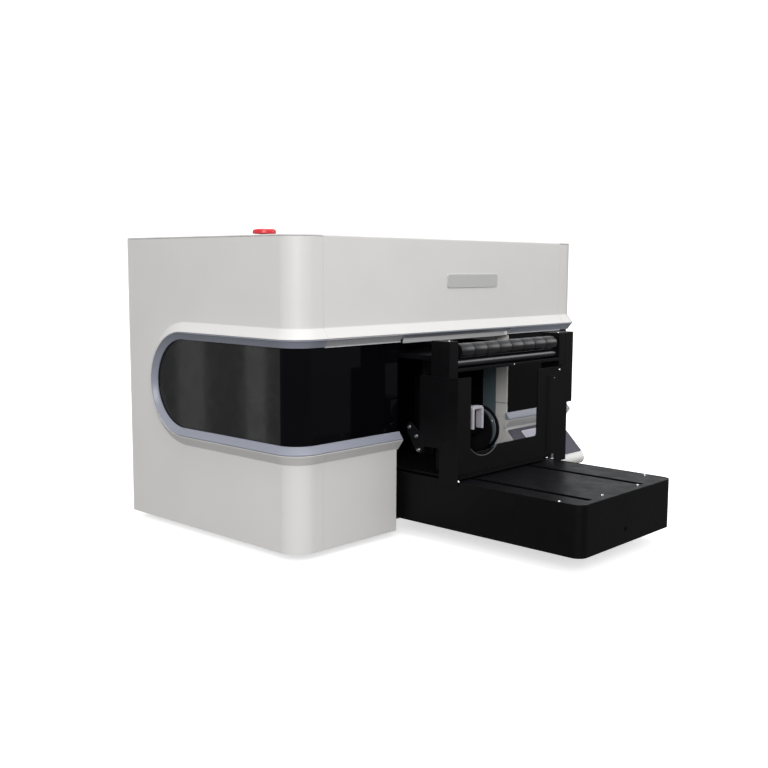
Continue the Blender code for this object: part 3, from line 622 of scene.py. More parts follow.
def make_side(hand, side):
    """One tower's round-cornered side with its surround, window and inner band."""
    start = SEAM + GAP
    outline = plan_corner(0, start, SIDE_BACK) + plan_corner(SHEET, start, SIDE_BACK)[::-1]
    casing = prism(f"{hand}_casing", mirrored(outline, side), "Z", (BOTTOM, SIDE_TOP))
    reach = sorted((side * 0.300, side * PAST_SIDE))
    hole = prism("hole", stadium(WINDOW_RADIUS - 0.005, PAST_FRONT), "X", reach)
    carve(casing, [hole])
    carve(casing, [sweep("ridge", RIDGE, start, start, side)], "UNION")
    place(soften(casing, 0.0007, 2, 40), "shell", "chassis", [f"{hand}_side_shell"])

    band = sweep(f"{hand}_window_band", BAND, TRIM_START, SEAM - GAP, side, TRIM_TAPER)
    place(crease(band, 40), "trim", "chassis", [f"{hand}_trim"])

    pane_low, pane_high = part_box(f"{hand}_window")
    start = -pane_high.x if side < 0 else pane_low.x
    outer = plan_corner(GLASS_DEPTH, start, PAST_WINDOW)
    inner = plan_corner(GLASS_DEPTH + SHEET, start, PAST_WINDOW)[::-1]
    tall = (CREST_BOTTOM - 0.02, CREST_TOP + 0.02)
    pane = prism(f"{hand}_window_pane", mirrored(outer + inner, side), "Z", tall)
    reach = sorted((side * 0.100, side * PAST_SIDE))
    edge = prism("edge", stadium(WINDOW_RADIUS - 0.0055, PAST_FRONT), "X", reach)
    carve(pane, [edge], "INTERSECT")
    rear = duplicate(pane, f"{hand}_window_side")
    beyond = ((-1, 1), (FRONT + CORNER, 1), (0, 1))
    carve(rear, [block("rear_half", *beyond)], "INTERSECT")
    carve(pane, [block("rear_half", *beyond)])
    for obj in (pane, rear):
        soften(obj, 0.0004, 2, 50)
    # Each window's front and side get a darker and a lighter copy of one acrylic: painted shade in
    # front, painted reflection on the side.
    place(pane, "smoked_shaded_copy", "chassis", [f"{hand}_window"])
    place(rear, "smoked_lit_copy", "chassis", [f"{hand}_window"])


def duplicate(obj, name):
    twin = bpy.data.objects.new(name, obj.data.copy())
    bpy.context.scene.collection.objects.link(twin)
    return twin


def straight_ridge(name, x, up):
    """The surround's chamfer along the front, above (up 1) or below (up -1) the window."""
    crest = CREST_TOP if up > 0 else CREST_BOTTOM
    outline = [(FRONT - depth, crest + up * outward) for outward, depth in RIDGE]
    return prism(name, outline, "X", x)


def make_hood():
    """The hinged cover above the opening, with its chamfer and its band in three lengths."""
    x = spans("front_cover")[0]
    hinge = high("front_cover").y
    outline = [
        (FRONT, TOP),
        (FRONT, CREST_TOP + 0.004),
        (FRONT + SHEET, CREST_TOP + 0.004),
        (FRONT + SHEET, TOP - SHEET),
        (hinge, TOP - SHEET),
        (hinge, TOP),
    ]
    cover = prism("hood_cover", rounded(outline, [0.003, 0, 0, 0.002, 0, 0]), "X", x)
    carve(cover, [straight_ridge("ridge", x, 1)], "UNION")
    place(soften(cover, 0.0007, 2, 40), "shell", "cover", ["front_cover"])

    side_band = [(FRONT - depth, CREST_TOP + out) for out, depth in BAND]
    foot = CREST_TOP - TRIM_WIDTH
    edge = rectangle((FRONT - 0.0048, FRONT - 0.0030), (foot + 0.0006, foot - 0.0008))
    for hand, look, span in (
        ("left", "hood_grey", (x[0], -TRIM_START)),
        ("right", "trim", (TRIM_START, x[1])),
    ):
        band = crease(prism(f"hood_band_{hand}", side_band, "X", span), 40)
        place(band, look, "cover", ["cover_trim"])
        band_lip = prism(f"band_lip_{hand}", rounded(edge, 0.0003, 2), "X", span)
        place(band_lip, "lip", "cover", ["cover_trim"])
    middle = (-TRIM_START + GAP, TRIM_START - GAP)
    depth = [FRONT - CREST + GAP, FRONT - 0.0035, FRONT]
    heights = [CREST_TOP - GAP, CREST_TOP - 0.0020, CREST_TOP - 0.0085]
    outline = [
        (depth[0], heights[0]),
        (depth[2], heights[0]),
        (depth[2], heights[2]),
        (depth[1], heights[2]),
        (depth[0], heights[1]),
    ]
    band = prism("hood_band_middle", rounded(outline, [0.0006, 0, 0, 0.0008, 0.0008]), "X", middle)
    place(soften(band, 0.0003, 2), "trim", "cover", ["cover_trim"])
    back = FRONT + 0.0008
    outline = rectangle((FRONT - 0.0010, back), (heights[2] - GAP, low("cover_trim").z))
    strip = prism("hood_strip", rounded(outline, 0.0005, 3), "X", (-0.159, 0.160))
    place(strip, "strip", "cover", ["cover_trim"])
    end = block("strip_end", (0.1606, 0.1690), (FRONT - 0.0024, back), (0.3712, 0.3800))
    place(soften(end, 0.0008, 3), "shell", "cover", ["cover_trim"])


def make_top():
    """The top cover, with a hole for the emergency stop."""
    left = plan_corner(0, SEAM + GAP, BACK)
    front_edge = high("front_cover").y + GAP
    ends = [(-SEAM - GAP, front_edge), (SEAM + GAP, front_edge)]
    outline = [ends[0], *left, *mirrored(left[::-1], 1), ends[1]]
    stop = middle_of("estop_collar")
    hole = arc((stop.x, stop.y), 0.0120, 0, 345, 23)
    top = prism("top_lid", outline, "Z", (TOP - SHEET, TOP), [hole])
    place(soften(top, 0.0010, 3, 40), "shell", "chassis", ["top_cover"])


def folded_plan(seam, wall_face, wall_inside, back):
    """A sheet's plan: along the casing's front from the seam, and folded back as a wall."""
    outline = [
        (seam, FRONT),
        (wall_face, FRONT),
        (wall_face, back),
        (wall_inside, back),
        (wall_inside, FRONT + SHEET),
        (seam, FRONT + SHEET),
    ]
    return rounded(outline, [0, 0.0028, 0, 0, 0.0004, 0])


def make_lower_left():
    """The white panel left of the base, which folds back as the opening's inner wall."""
    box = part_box("lower_left_panel")
    wall = (-THROAT, -THROAT + SHEET)
    outline = folded_plan(box[0].x, wall[1], wall[0], -0.0045)
    panel = prism("lower_left_front", outline, "Z", (BOTTOM, CREST_BOTTOM + 0.004))
    upper = block("wall", wall, (FRONT + 0.006, box[1].y), (0.0178, box[1].z))
    ridge = straight_ridge("ridge", (box[0].x, -TRIM_START), -1)
    carve(panel, [ridge, upper], "UNION")
    place(soften(panel, 0.0006, 2, 40), "shell", "chassis", ["lower_left_panel"])


def console_rise():
    """The console's face is at z = y + this."""
    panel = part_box("console_panel")
    return (panel[0].z + panel[1].z - panel[0].y - panel[1].y) / 2 - 0.0010


def make_lower_right():
    """The white panel, the opening's corner strip and the console with its round nose."""
    seam = SEAM - GAP
    wall = (THROAT, THROAT + SHEET)
    top = CREST_BOTTOM + 0.004
    back = high("console_shell").y
    outline = folded_plan(seam, wall[0], wall[1], back)
    shell = prism("lower_right_front", outline, "Z", (BOTTOM, top))
    rise = console_rise()
    face_end, underside = -0.1170, 0.0560
    nose = [(face_end, face_end + rise), *arc((-0.1090, 0.0880), 0.0135, 150, 268, 14)]
    inside, outside = FRONT + 0.0015, FRONT - GAP
    profile = [(inside, FRONT + rise - 0.0018), *nose, (inside, underside)]
    body = prism("nose", profile, "X", (wall[0], seam))
    profile = [(outside, outside + rise), *nose, (outside, underside)]
    overhang = prism("overhang", profile, "X", (seam - 0.002, high("console_shell").x))
    ridge = straight_ridge("ridge", (TRIM_START, seam), -1)
    carve(shell, [body, overhang, ridge], "UNION")
    place(soften(shell, 0.0007, 2, 40), "shell", "chassis", ["console_shell"])

    joint = 0.2230
    for name, z in (
        ("corner_strip_lower", (top + GAP, joint)),
        ("corner_strip_upper", (joint + 0.0012, high("console_shell").z)),
    ):
        strip = block(name, wall, (FRONT + 0.0010, back), z)
        place(soften(strip, 0.0007, 3), "shell", "chassis", ["console_shell"])

    turn = Matrix.Rotation(math.radians(45), 4, "X")
    normal = Vector((0, -1, 1)).normalized()
    for name, node_name, look, slot, lift, thick, radius in (
        ("console_face", "console_panel", "console", "console_face", GAP, 0.0012, 0.004),
        ("console_display_edge", "console_display", "display_edge", "display", 0.0016, 0.0008, 0.003),
        ("console_display_pane", "console_display", "display", "display", 0.0020, 0.0009, 0.002),
    ):
        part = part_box(node_name)
        inset = 0.0022 if name.endswith("pane") else 0.0
        half_x = (part[1].x - part[0].x) / 2 - inset
        long = ((part[1].y - part[0].y - 0.0007) * math.sqrt(2)) / 2 - inset
        outline = rectangle((-half_x, half_x), (-long, long))
        plate = prism(name, rounded(outline, radius, 6), "Z", (0, thick))
        centre_y = (part[0].y + part[1].y) / 2
        centre = Vector(((part[0].x + part[1].x) / 2, centre_y, centre_y + rise)) + normal * lift
        plate.data.transform(Matrix.Translation(centre) @ turn)
        place(soften(plate, 0.0003, 2), look, "chassis", [node_name])


def make_inner_wall():
    """The right tower's inner sheet, and a near-black sheet on its face behind the opening: painted
    shade deep in the opening.
    """
    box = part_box("right_inner_wall")
    wall = block("right_tower_wall", *spans("right_inner_wall"))
    place(soften(wall, 0.0006, 2), "blue_grey", "chassis", ["right_inner_wall"])
    # A near-black sheet over the wall's face deep in the opening: painted shade.
    face = (box[0].x - 0.0012, box[0].x - 0.0001)
    painted_shade_sheet = block("tower_wall_painted_shade", face, (0.0128, box[1].y - 0.004), (0.030, box[1].z - 0.004))
    place(soften(painted_shade_sheet, 0.0003, 2), "painted_shade_sheet", "chassis")


def make_nameplate():
    """A plain, blank plate on the hood."""
    outline = rounded(rectangle((-0.031, 0.132), (0.4725, 0.4995)), 0.006, 8)
    plate = prism("blank_plate", outline, "Y", (FRONT - 0.0016, FRONT - 0.0001))
    place(soften(plate, 0.0006, 3), "plate_blank", "cover")


# ---------------------------------------------------------------- base and table


def base_outline(inset):
    """The base's plan, with round front corners, this far inside its outer face."""
    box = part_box("base_tray")
    radius = 0.019 - inset
    x = (box[0].x + inset, box[1].x - inset)
    y = (box[0].y + inset, box[1].y - inset)
    return rounded(rectangle(x, y), [radius, radius, 0, 0], 16)


def make_base():
    """The long black box, its slotted top plate and the plate's screws."""
    foot, top = spans("base_tray")[2]
    rim_foot = top - 0.0040
    outer, joined = base_outline(0), base_outline(0.0005)
    rim = prism("base_rim", outer, "Z", (rim_foot, top), [base_outline(0.0026)])
    walls = prism("base_box", outer, "Z", (foot, rim_foot), [base_outline(SHEET)])
    floor = prism("floor", joined, "Z", (foot, foot + SHEET))
    ledge = prism("ledge", joined, "Z", (0.1169, 0.1199), [base_outline(0.010)])
    carve(walls, [rim, floor, ledge], "UNION")
    drill = [(0, 0), (0.004, 0), (0.004, 0.05), (0, 0.05)]
    before = (-0.0126, low("base_tray").y - 0.01, 0.0581)
    carve(walls, [turned("drill", before, (0, 1, 0), drill, 24)])
    place(soften(walls, 0.0006, 2, 40), "black", "chassis", ["base_tray"])
    slots = []
    for rail in ("y_rail_left", "y_rail_right"):
        middle, half = middle_of(rail).x, 0.0073
        slot = rectangle((middle - half, middle + half), (-0.434, 0.035))
        slots.append(rounded(slot, 0.0035, 6))
    z = spans("base_top_plate")[2]
    lid = prism("base_lid", base_outline(0.0030), "Z", z, slots)
    place(soften(lid, 0.0005, 2), "plate", "chassis", ["base_top_plate"])
    places = [(-0.1519, -0.4011), (-0.0599, -0.4283), (0.0564, -0.4319), (0.1444, -0.3979)]
    spots = [(x, y, z[1]) for x, y in places]
    screws("base_lid_screws", "chassis", spots, (0, 0, 1), 0.0030, 0.0018)


def make_table_frame():
    """The folded black sheet in front, with its notch, windows and screws."""
    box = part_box("lower_frame")
    sheet = 0.0027
    base_half = high("base_tray").x
    strip = (0.1365, 0.180)
    foot = 0.118
    opening = (-0.122, 0.092)
    notch_centre, notch_radius = (-0.080, 0.2202), 0.0568
    half = math.degrees(math.acos((notch_centre[1] - strip[1]) / notch_radius))
    notch = arc(notch_centre, notch_radius, 270 + half, 270 - half, 24)
    outline = [
        (box[0].x, strip[0]),
        (base_half + GAP, strip[0]),
        (base_half + GAP, foot),
        (box[1].x, foot),
        (box[1].x, box[1].z),
        (opening[1], box[1].z),
        (opening[1], strip[1]),
        *notch,
        (opening[0], strip[1]),
        (opening[0], box[1].z),
        (box[0].x, box[1].z),
    ]
    corners = [0.0, 0.0, 0.0, 0.0, 0.0, 0.002, 0.006, *([0] * len(notch)), 0.001, 0.002, 0.0]
    front = prism("table_frame", rounded(outline, corners, 6), "Y", (box[0].y, box[0].y + sheet))
    left = [
        (box[0].y, 0.116),
        (-0.1437, 0.116),
        (-0.1437, 0.181),
        (-0.0960, 0.181),
        (-0.0960, box[1].z),
        (box[0].y, box[1].z),
    ]
    left = rounded(left, [0, 0.001, 0.004, 0.004, 0.003, 0])
    left_flank = prism("flank_left", left, "X", (box[0].x, box[0].x + sheet))
    right = rounded(rectangle((box[0].y, -0.166), (foot, box[1].z)), [0, 0.002, 0.003, 0])
    right_flank = prism("flank_right", right, "X", (box[1].x - sheet, box[1].x))
    carve(front, [left_flank, right_flank], "UNION")
    place(soften(front, 0.0007, 3, 40), "black", "table", ["lower_frame"])
    y = box[0].y
    rib = [(0.1270, y), (0.1470, y), (0.1450, y - 0.0030), (0.1290, y - 0.0030)]
    channel = prism("frame_rib", rounded(rib, [0, 0, 0.0028, 0.0028], 6), "Z", (0.1400, 0.2980))
    place(soften(channel, 0.0003, 2), "black", "table")
    spots = [(-0.1560, y, 0.1250), (0.1297, y, 0.1300), (0.1470, y, 0.2920), (0.1674, y, 0.3070)]
    screws("frame_screws", "table", spots, (0, -1, 0), 0.0026, 0.0016)
    # A grey tube along the notch's rim, lighter than the black sheet: a painted highlight on the lit
    # cut edge.
    rim = arc(notch_centre, notch_radius - 0.0004, 270 - half, 270 + half, 24)
    notch_highlight = tube("notch_painted_highlight", [(x, y + 0.0006, z) for x, z in rim], 0.0011, 3)
    place(notch_highlight, "notch_highlight", "table")


def make_posts():
    """The two square posts, the right one with its drive box, and the plate between them."""
    top = high("left_post").z
    for hand in ("left", "right"):
        x, y, z = spans(f"{hand}_post")
        right = x[1] if hand == "left" else x[0] + 0.0205
        post = block(f"{hand}_upright", (x[0], right), y, (z[0], top))
        place(soften(post, 0.0009, 3), "black", "lift", [f"{hand}_post"])
        spots = [(x[0] + 0.012, y[0] + 0.012, top)]
        screws(f"{hand}_post_screw", "lift", spots, (0, 0, 1), 0.0024, 0.0009)
        if hand == "right":
            cover = block("drive_cover", (right + 0.0006, x[1]), y, (0.2320, z[1]))
            place(soften(cover, 0.0016, 4), "black", "lift", ["right_post"])
    bar = block("cross_bar", *spans("cross_plate"))
    place(soften(bar, 0.0008, 3), "black", "lift", ["cross_plate"])
    spots = [(0.0427, low("cross_plate").y, middle_of("cross_plate").z)]
    screws("cross_bar_screw", "lift", spots, (0, -1, 0), 0.0018, 0.0010)


def roller_sizes(node):
    """A roller's middle, its radius and half its length, which lies along X."""
    x, _, z = spans(node)
    return middle_of(node), (z[1] - z[0]) / 2, (x[1] - x[0]) / 2


def both_ends(half_profile):
    """A turned profile and its mirror image."""
    return half_profile + [(radius, -along) for radius, along in half_profile[::-1]]


def make_rollers():
    """The segmented pinch roller above, the smooth driven roller below."""
    along_x = (1, 0, 0)
    centre, radius, reach = roller_sizes("pinch_roller")
    half = reach - 0.010
    count = 8
    pitch = 2 * half / count
    core = radius - 0.0016
    shaft = both_ends([(0, -reach), (0.005, -reach), (0.005, -half - 0.001), (core, -half)])
    shaft = turned("pinch_core", centre, along_x, shaft, 40)
    place(shaft, "groove", "pinch_roller_body", ["pinch_roller"])
    mesh_data = bmesh.new()
    edge = 0.0009
    for i in range(count):
        start = -half + i * pitch + 0.0010
        end = start + pitch - 0.0020
        sleeve = [
            (core - 0.0008, start),
            (radius - edge, start),
            *curve((radius - edge, start), (radius, start), (radius, start + edge), 3)[1:],
            *curve((radius, end - edge), (radius, end), (radius - edge, end), 3),
            (core - 0.0008, end),
            (core - 0.0008, start),
        ]
        lathe(mesh_data, sleeve, Matrix.Translation(centre) @ turn_to(along_x), 48)
    bmesh.ops.remove_doubles(mesh_data, verts=mesh_data.verts, dist=0.000001)
    sleeves = crease(to_object("pinch_sleeves", mesh_data), 40)
    place(sleeves, "sleeve", "pinch_roller_body", ["pinch_roller"])

    centre, radius, reach = roller_sizes("drive_roller")
    half = reach - 0.003
    edge = 0.0008
    half_profile = [
        (0, -reach),
        (0.0035, -reach),
        (0.0040, -reach + 0.0005),
        (0.0040, -half),
        (radius - edge, -half),
        (radius, -half + edge),
    ]
    bar = turned("drive_bar", centre, along_x, both_ends(half_profile), 48)
    place(bar, "roller", "drive_roller_body", ["drive_roller"])


def upright_sizes(node):
    """The middle of a round upright node's foot, its radius and its height."""
    x, _, z = spans(node)
    middle = middle_of(node)
    return (middle.x, middle.y, z[0]), (x[1] - x[0]) / 2, z[1] - z[0]


def flange_edge(radius, start, thick):
    """The profile of a disc's rounded edge, from one face to the other."""
    inside, crown, end = radius - 0.0012, (radius, start + thick / 2), start + thick
    rise = curve((inside, start), (radius, start), crown, 3)
    return rise + curve(crown, (radius, end), (inside, end), 3)[1:]


def make_reel():
    """The take-up reel with its two flanges, the ring on one of them and the ring's screws."""
    centre, radius, end = roller_sizes("take_up_reel")
    start = -end
    thick = 0.0030
    right, left = end - 0.0090, start + 0.0770
    flange = [
        (0, start),
        (0.0055, start),
        (0.0060, start + 0.0006),
        (0.0060, start + 0.0300),
        (0.0130, start + 0.0300),
        (0.0140, start + 0.0310),
        (0.0140, left),
        *flange_edge(radius, left, thick),
        (0.0180, left + thick),
        (0.0180, right - thick),
        *flange_edge(radius, right - thick, thick),
        (radius - 0.0050, right),
        (radius - 0.0056, right - 0.0010),
        (0.0120, right - 0.0010),
        (0.0115, right),
        (0.0060, right),
        (0.0060, end - 0.0006),
        (0.0055, end),
        (0, end),
    ]
    reel = turned("reel", centre, (1, 0, 0), flange, 64)
    place(reel, "plate", "reel", ["take_up_reel"])
    face = centre.x + right - thick
    ring = [
        (radius - 0.0190, 0),
        (radius - 0.0190, 0.0006),
        (radius - 0.0185, 0.0010),
        (radius - 0.0070, 0.0010),
        (radius - 0.0065, 0.0006),
        (radius - 0.0065, 0),
        (radius - 0.0190, 0),
    ]
    disc = turned("reel_ring", (face, centre.y, centre.z), (-1, 0, 0), ring, 64)
    place(disc, "grey_ring", "reel")
    spots = []
    for i in range(6):
        angle = math.tau * (i + 0.5) / 6
        across = (radius - 0.0125) * math.cos(angle)
        up = (radius - 0.0125) * math.sin(angle)
        spots.append((face - 0.0010, centre.y + across, centre.z + up))
    screws("reel_screws", "reel", spots, (-1, 0, 0), 0.0018, 0.0010)


def make_reel_stand():
    """The reel's stand with its arm, and the bright film guide under the rollers."""
    x, y, z = spans("reel_stand")
    stand = block("reel_stand_plate", (x[0], x[0] + 0.0035), y, z)
    arm = block("arm", (x[0] + 0.001, x[1]), (-0.165, -0.127), (0.2505, 0.2550))
    carve(stand, [arm], "UNION")
    place(soften(stand, 0.0008, 3), "black", "table", ["reel_stand"])
    x, z = (-0.1065, -0.0735), (0.2140, 0.2570)
    wall = 0.0055
    inner, ceiling = (x[0] + wall, x[1] - wall), z[1] - wall
    outline = [
        (x[0], z[0]),
        (x[0], z[1]),
        (x[1], z[1]),
        (x[1], z[0]),
        (inner[1], z[0]),
        (inner[1], ceiling),
        (inner[0], ceiling),
        (inner[0], z[0]),
    ]
    corners = [0.0008, 0.0075, 0.0075, 0.0008, 0.0008, 0.0030, 0.0030, 0.0008]
    guide = prism("film_guide", rounded(outline, corners, 8), "Y", (-0.180, -0.1655))
    place(soften(guide, 0.0006, 2), "guide", "table", ["reel_stand"])


def make_knob():
    """The small knob with its ridged rim and its stem."""
    centre, radius, _ = upright_sizes("tension_knob")
    mesh_data = bmesh.new()
    profile = [(0, 0), (radius - 0.0008, 0), (radius, 0.0008), (radius, 0.0086)]
    profile += [(radius - 0.0008, 0.0094), (0.0032, 0.0098), (0.0030, 0.0150), (0, 0.0150)]
    ridges = 60
    lathe(mesh_data, profile, Matrix.Translation(centre), ridges)
    for vertex in mesh_data.verts:
        flat = Vector((vertex.co.x - centre[0], vertex.co.y - centre[1], 0))
        if flat.length > radius - 0.0002:
            ridge = round(math.atan2(flat.y, flat.x) * ridges / math.tau) % 2
            vertex.co -= flat.normalized() * 0.00045 * ridge
    knob = to_object("knurled_knob", mesh_data)
    knob.data.shade_flat()
    place(knob, "bright", "knob", ["tension_knob"])


def make_fittings():
    """The bracket left of the table's frame, with three hose fittings."""
    frame_left = low("lower_frame").x
    outline = [(-0.1060, 0.1760), (-0.0980, 0.1640), (-0.0860, 0.1700), (-0.0640, 0.2060)]
    outline += [(-0.0650, 0.2220), (-0.0740, 0.2225), (-0.1000, 0.2020)]
    x = (frame_left - 0.0002, frame_left + 0.0024)
    bracket = prism("fitting_bracket", rounded(outline, 0.005, 6), "X", x)
    place(soften(bracket, 0.0006, 2), "black", "table")
    mesh_data = bmesh.new()
    nut = [
        (0, 0),
        (0.0032, 0, 6),
        (0.0032, 0.0026, 6),
        (0.0029, 0.0031),
        (0.0024, 0.0035),
        (0.0024, 0.0054),
        (0.0014, 0.0058),
        (0, 0.0058),
    ]
    for y, z in ((-0.0723, 0.2137), (-0.0900, 0.1984), (-0.0956, 0.1726)):
        matrix = Matrix.Translation((frame_left, y, z)) @ turn_to((-1, 0, 0))
        lathe(mesh_data, nut, matrix, 24)
    fittings = crease(to_object("hose_fittings", mesh_data), 30)
    place(fittings, "dull", "table")


def make_stop():
    """The emergency stop's collar, stem and mushroom head."""
    centre, radius, height = upright_sizes("estop_head")
    crown = (radius - 0.0060, height - 0.0004)
    head = [
        (0, 0.0025),
        (radius - 0.0020, 0.0025),
        (radius - 0.0020, 0),
        (radius - 0.0006, 0),
        *curve((radius - 0.0006, 0), (radius, 0.0000), (radius, 0.0007), 4)[1:],
        (radius, 0.0048),
        *curve((radius, 0.0048), (radius - 0.0004, height - 0.0010), crown, 8)[1:],
        (0.0060, height),
        (0, height),
    ]
    button = turned("stop_button", centre, (0, 0, 1), head, 64)
    place(button, "red", "stop_head", ["estop_head"])
    foot = low("estop_collar").z - TOP
    collar = [
        (0.0086, foot),
        (0.0086, 0.0020),
        *curve((0.0160, 0.0022), (0.0184, 0.0020), (0.0185, GAP), 4),
        (0.0114, GAP),
        (0.0114, foot),
        (0.0086, foot),
    ]
    collar = turned("stop_collar", (centre[0], centre[1], TOP), (0, 0, 1), collar, 48)
    place(collar, "plastic", "chassis", ["estop_collar"])
    z = spans("estop_stem")[2]
    long = z[1] - z[0]
    stem = [(0, 0), (0.0075, 0), (0.0080, 0.0006), (0.0080, long), (0, long)]
    stem = turned("stop_shaft", (centre[0], centre[1], z[0]), (0, 0, 1), stem, 32)
    place(stem, "plastic", "stop_stem", ["estop_stem"])


# ---------------------------------------------------------------- insides and back


def make_ink_bottles():
    """Six bottles with red caps that stand in the rack."""
    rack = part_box("ink_rack")
    shelf = 0.1500
    bodies, caps = bmesh.new(), bmesh.new()
    radius = 0.027
    bottle = [(0, 0), (radius - 0.002, 0), (radius, 0.002), (radius, 0.078)]
    bottle += curve((radius, 0.078), (radius, 0.096), (0.012, 0.098), 6)[1:]
    bottle += [(0.012, 0.104), (0, 0.104)]
    cap = [(0, 0.1005), (0.0165, 0.1005), (0.0165, 0.1185), (0.0150, 0.1200), (0, 0.1200)]
    for i in range(3):
        for j in range(2):
            x = rack[0].x + 0.040 + i * 0.066
            y = rack[0].y + 0.045 + j * 0.080
            matrix = Matrix.Translation((x, y, shelf + 0.0004))
            lathe(bodies, bottle, matrix, 40)
            lathe(caps, cap, matrix, 28)
    place(crease(to_object("ink_bottles", bodies), 35), "plastic", "chassis")
    place(crease(to_object("ink_caps", caps), 35), "ink_cap", "chassis")


def make_rear_panel():
    """The rear sheet with its fan hole, vent slots and inlet cut-out."""
    x, y, z = spans("rear_panel")
    fan = middle_of("rear_fan")
    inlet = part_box("power_inlet")
    inlet_x = (inlet[0].x - GAP, inlet[1].x + GAP)
    inlet_z = (inlet[0].z - GAP, inlet[1].z + GAP)
    holes = [arc((fan.x, fan.z), 0.037, 0, 352.5, 47), rectangle(inlet_x, inlet_z)]
    for i in range(5):
        foot = 0.420 + 0.014 * i
        slot = rectangle((-0.340, -0.240), (foot, foot + 0.006))
        holes.append(rounded(slot, 0.0028, 5))
    panel = prism("rear_sheet", rectangle(x, z), "Y", y, holes)
    place(soften(panel, 0.0006, 2, 40), "shell", "chassis", ["rear_panel"])


def make_back():
    """The rear panel's screws and the fan's wire guard."""
    centre = middle_of("rear_fan")
    y = BACK - SHEET - 0.0012
    wires = []
    for i in range(5):
        radius = 0.010 + 0.0072 * i
        spots = [(centre.x + a, y, centre.z + b) for a, b in arc((0, 0), radius, 0, 330, 11)]
        wires.append(tube(f"guard_{i}", spots, 0.0008, 5, True))
    hub = Vector((centre.x, y, centre.z))
    for i in range(4):
        angle = math.radians(45 + 90 * i)
        across = Vector((math.cos(angle), 0, math.sin(angle)))
        wires.append(tube(f"guard_spoke_{i}", [hub + across * 0.006, hub + across * 0.0405], 0.0009))
    place(join(wires, "fan_guard"), "steel", "chassis")
    inset = 0.012
    heights = (0.030, 0.200, 0.380, 0.550)
    spots = [(x, BACK, z) for x in (-HALF_WIDTH + inset, HALF_WIDTH - inset) for z in heights]
    spots += [(x, BACK, z) for x in (-0.14, 0.14) for z in (heights[0], heights[-1])]
    screws("rear_screws", "chassis", spots, (0, 1, 0), 0.0030, 0.0004, "steel")


def join(objects, name):
    """One new piece with the meshes of several, which are used up."""
    mesh_data = bmesh.new()
    for obj in objects:
        mesh_data.from_mesh(obj.data)
    made = to_object(name, mesh_data)
    made.data.shade_smooth()
    for obj in objects:
        bpy.data.objects.remove(obj)
    return made


def make_kept_nodes():
    """CAD nodes whose shape is right: better finishes and rounded edges."""
    feet = ("foot_front_left", "foot_front_right", "foot_rear_left", "foot_rear_right")
    y_guides = ("y_rail_left", "y_rail_right", "rail_block_left", "rail_block_right")
    for look, width, names in (
        ("rubber", 0.0020, feet),
        ("rubber", 0.0010, ("capping_pad",)),
        ("rubber", 0.0002, ("x_belt",)),
        ("steel", 0.0012, ("print_heads",)),
        ("steel", 0.0010, ("x_rail",)),
        ("steel", 0.0008, y_guides),
        ("steel", 0.0006, ("floor_pan", "control_box")),
        ("steel", 0.0004, ("y_screw",)),
        ("plastic", 0.0030, ("carriage_cover",)),
        ("plastic", 0.0020, ("y_motor", "x_motor")),
        ("plastic", 0.0012, ("capping_base",)),
        ("plastic", 0.0005, ("power_inlet",)),
        ("plastic", 0.0004, ("power_switch",)),
        ("plastic", 0.0003, ("rear_fan",)),
        ("black", 0.0008, ("saddle", "ink_rack")),
        ("plate", 0.0008, ("lift_rod", "platen")),
        ("aluminium", 0.0012, ("uv_lamp",)),
        ("aluminium", 0.0010, ("x_portal",)),
        ("aluminium", 0.0006, ("x_drive_pulley", "x_idler_pulley", "carriage_frame")),
    ):
        for name in names:
            keep(name, look, width)


# ---------------------------------------------------------------- stage, light and camera


def make_stage():
    """A pale floor that curves up all round, far from the object."""
    mesh_data = bmesh.new()
    profile = [(0, 0), (4.0, 0), *curve((4.0, 0), (7.5, 0), (7.5, 4.5), 16)[1:]]
    lathe(mesh_data, profile, Matrix.Identity(4), 96)
    floor = to_object("floor", mesh_data)
    floor.data.flip_normals()
    floor.data.shade_smooth()
    pale = surface("studio_floor", (0.86, 0.86, 0.86), 0.75, specular=0.1, mottle=0.004, grain=60)
    shader = pale.node_tree.nodes["Principled BSDF"]
    shader.inputs["Emission Color"].default_value = (1, 1, 1, 1)
    shader.inputs["Emission Strength"].default_value = 0.62
    floor.data.materials.append(pale)
    floor.visible_diffuse = False
    floor.visible_glossy = False
    floor.visible_shadow = False


def area_light(name, spot, target, size, power):
    data = bpy.data.lights.new(name, "AREA")
    data.shape = "RECTANGLE"
    data.size, data.size_y = size
    data.energy = power
    obj = bpy.data.objects.new(name, data)
    obj.location = spot
    direction = Vector(target) - Vector(spot)
    obj.rotation_mode = "QUATERNION"
    obj.rotation_quaternion = direction.to_track_quat("-Z", "Y")
    obj.visible_camera = False
    bpy.context.scene.collection.objects.link(obj)


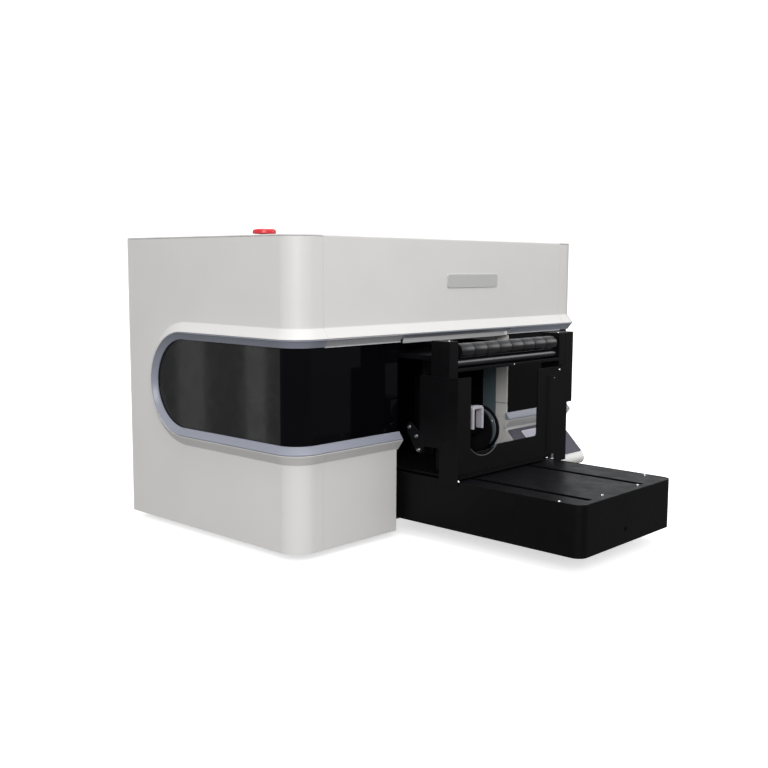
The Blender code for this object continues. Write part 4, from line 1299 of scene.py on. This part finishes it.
def make_light():
    """A sky that is dim near the ground, a key light, soft panels and two narrow strips."""
    world = bpy.data.worlds.new("studio")
    world.use_nodes = True
    tree = world.node_tree
    way = node(tree, "ShaderNodeSeparateXYZ")
    tree.links.new(node(tree, "ShaderNodeTexCoord").outputs["Generated"], way.inputs[0])
    height = spread(tree, way.outputs["Z"], 0.0, 1.0, -0.12, 0.30)
    sky = blend_colours(tree, height, (0.17, 0.17, 0.17), (0.67, 0.68, 0.69))
    tree.links.new(sky, tree.nodes["Background"].inputs["Color"])
    bpy.context.scene.world = world
    middle = (0, 0, 0.3)
    area_light("key", (-2.9, -2.6, 1.7), middle, (1.8, 1.8), 80)
    area_light("top", (0.0, -0.3, 3.4), middle, (3.0, 3.0), 50)
    area_light("right_fill", (3.2, -1.8, 1.6), middle, (1.6, 1.6), 14)
    area_light("back", (1.5, 3.4, 2.2), middle, (2.0, 2.0), 26)
    area_light("strip_near", (-1.56, 1.42, 0.40), (-0.43, 0.07, 0.35), (0.07, 1.6), 0.20)
    area_light("strip_far", (-1.56, 1.80, 0.40), (-0.43, 0.17, 0.35), (0.10, 1.6), 0.22)
    bpy.context.scene.view_settings.view_transform = "Standard"
    bpy.context.scene.view_settings.look = "None"


def make_camera():
    """The camera stands ahead of the front left corner and looks a little down."""
    data = bpy.data.cameras.new("camera")
    data.sensor_width = 36.0
    data.lens = 47.04
    camera = bpy.data.objects.new("camera", data)
    right = Vector((0.6831, -0.7303, 0.0052)).normalized()
    forward = Vector((0.7257, 0.6780, -0.1169)).normalized()
    up = right.cross(forward).normalized()
    right = forward.cross(up)
    turn = Matrix((right, up, -forward)).transposed().to_4x4()
    camera.matrix_world = Matrix.Translation((-1.5610, -1.3135, 0.5149)) @ turn
    bpy.context.scene.collection.objects.link(camera)
    bpy.context.scene.camera = camera


make_camera()
make_light()
make_stage()
make_side("left", -1)
make_side("right", 1)
make_hood()
make_top()
make_nameplate()
make_lower_left()
make_lower_right()
make_inner_wall()
make_rear_panel()
make_base()
make_table_frame()
make_posts()
make_rollers()
make_reel()
make_reel_stand()
make_knob()
make_fittings()
make_stop()
make_ink_bottles()
make_back()
make_kept_nodes()
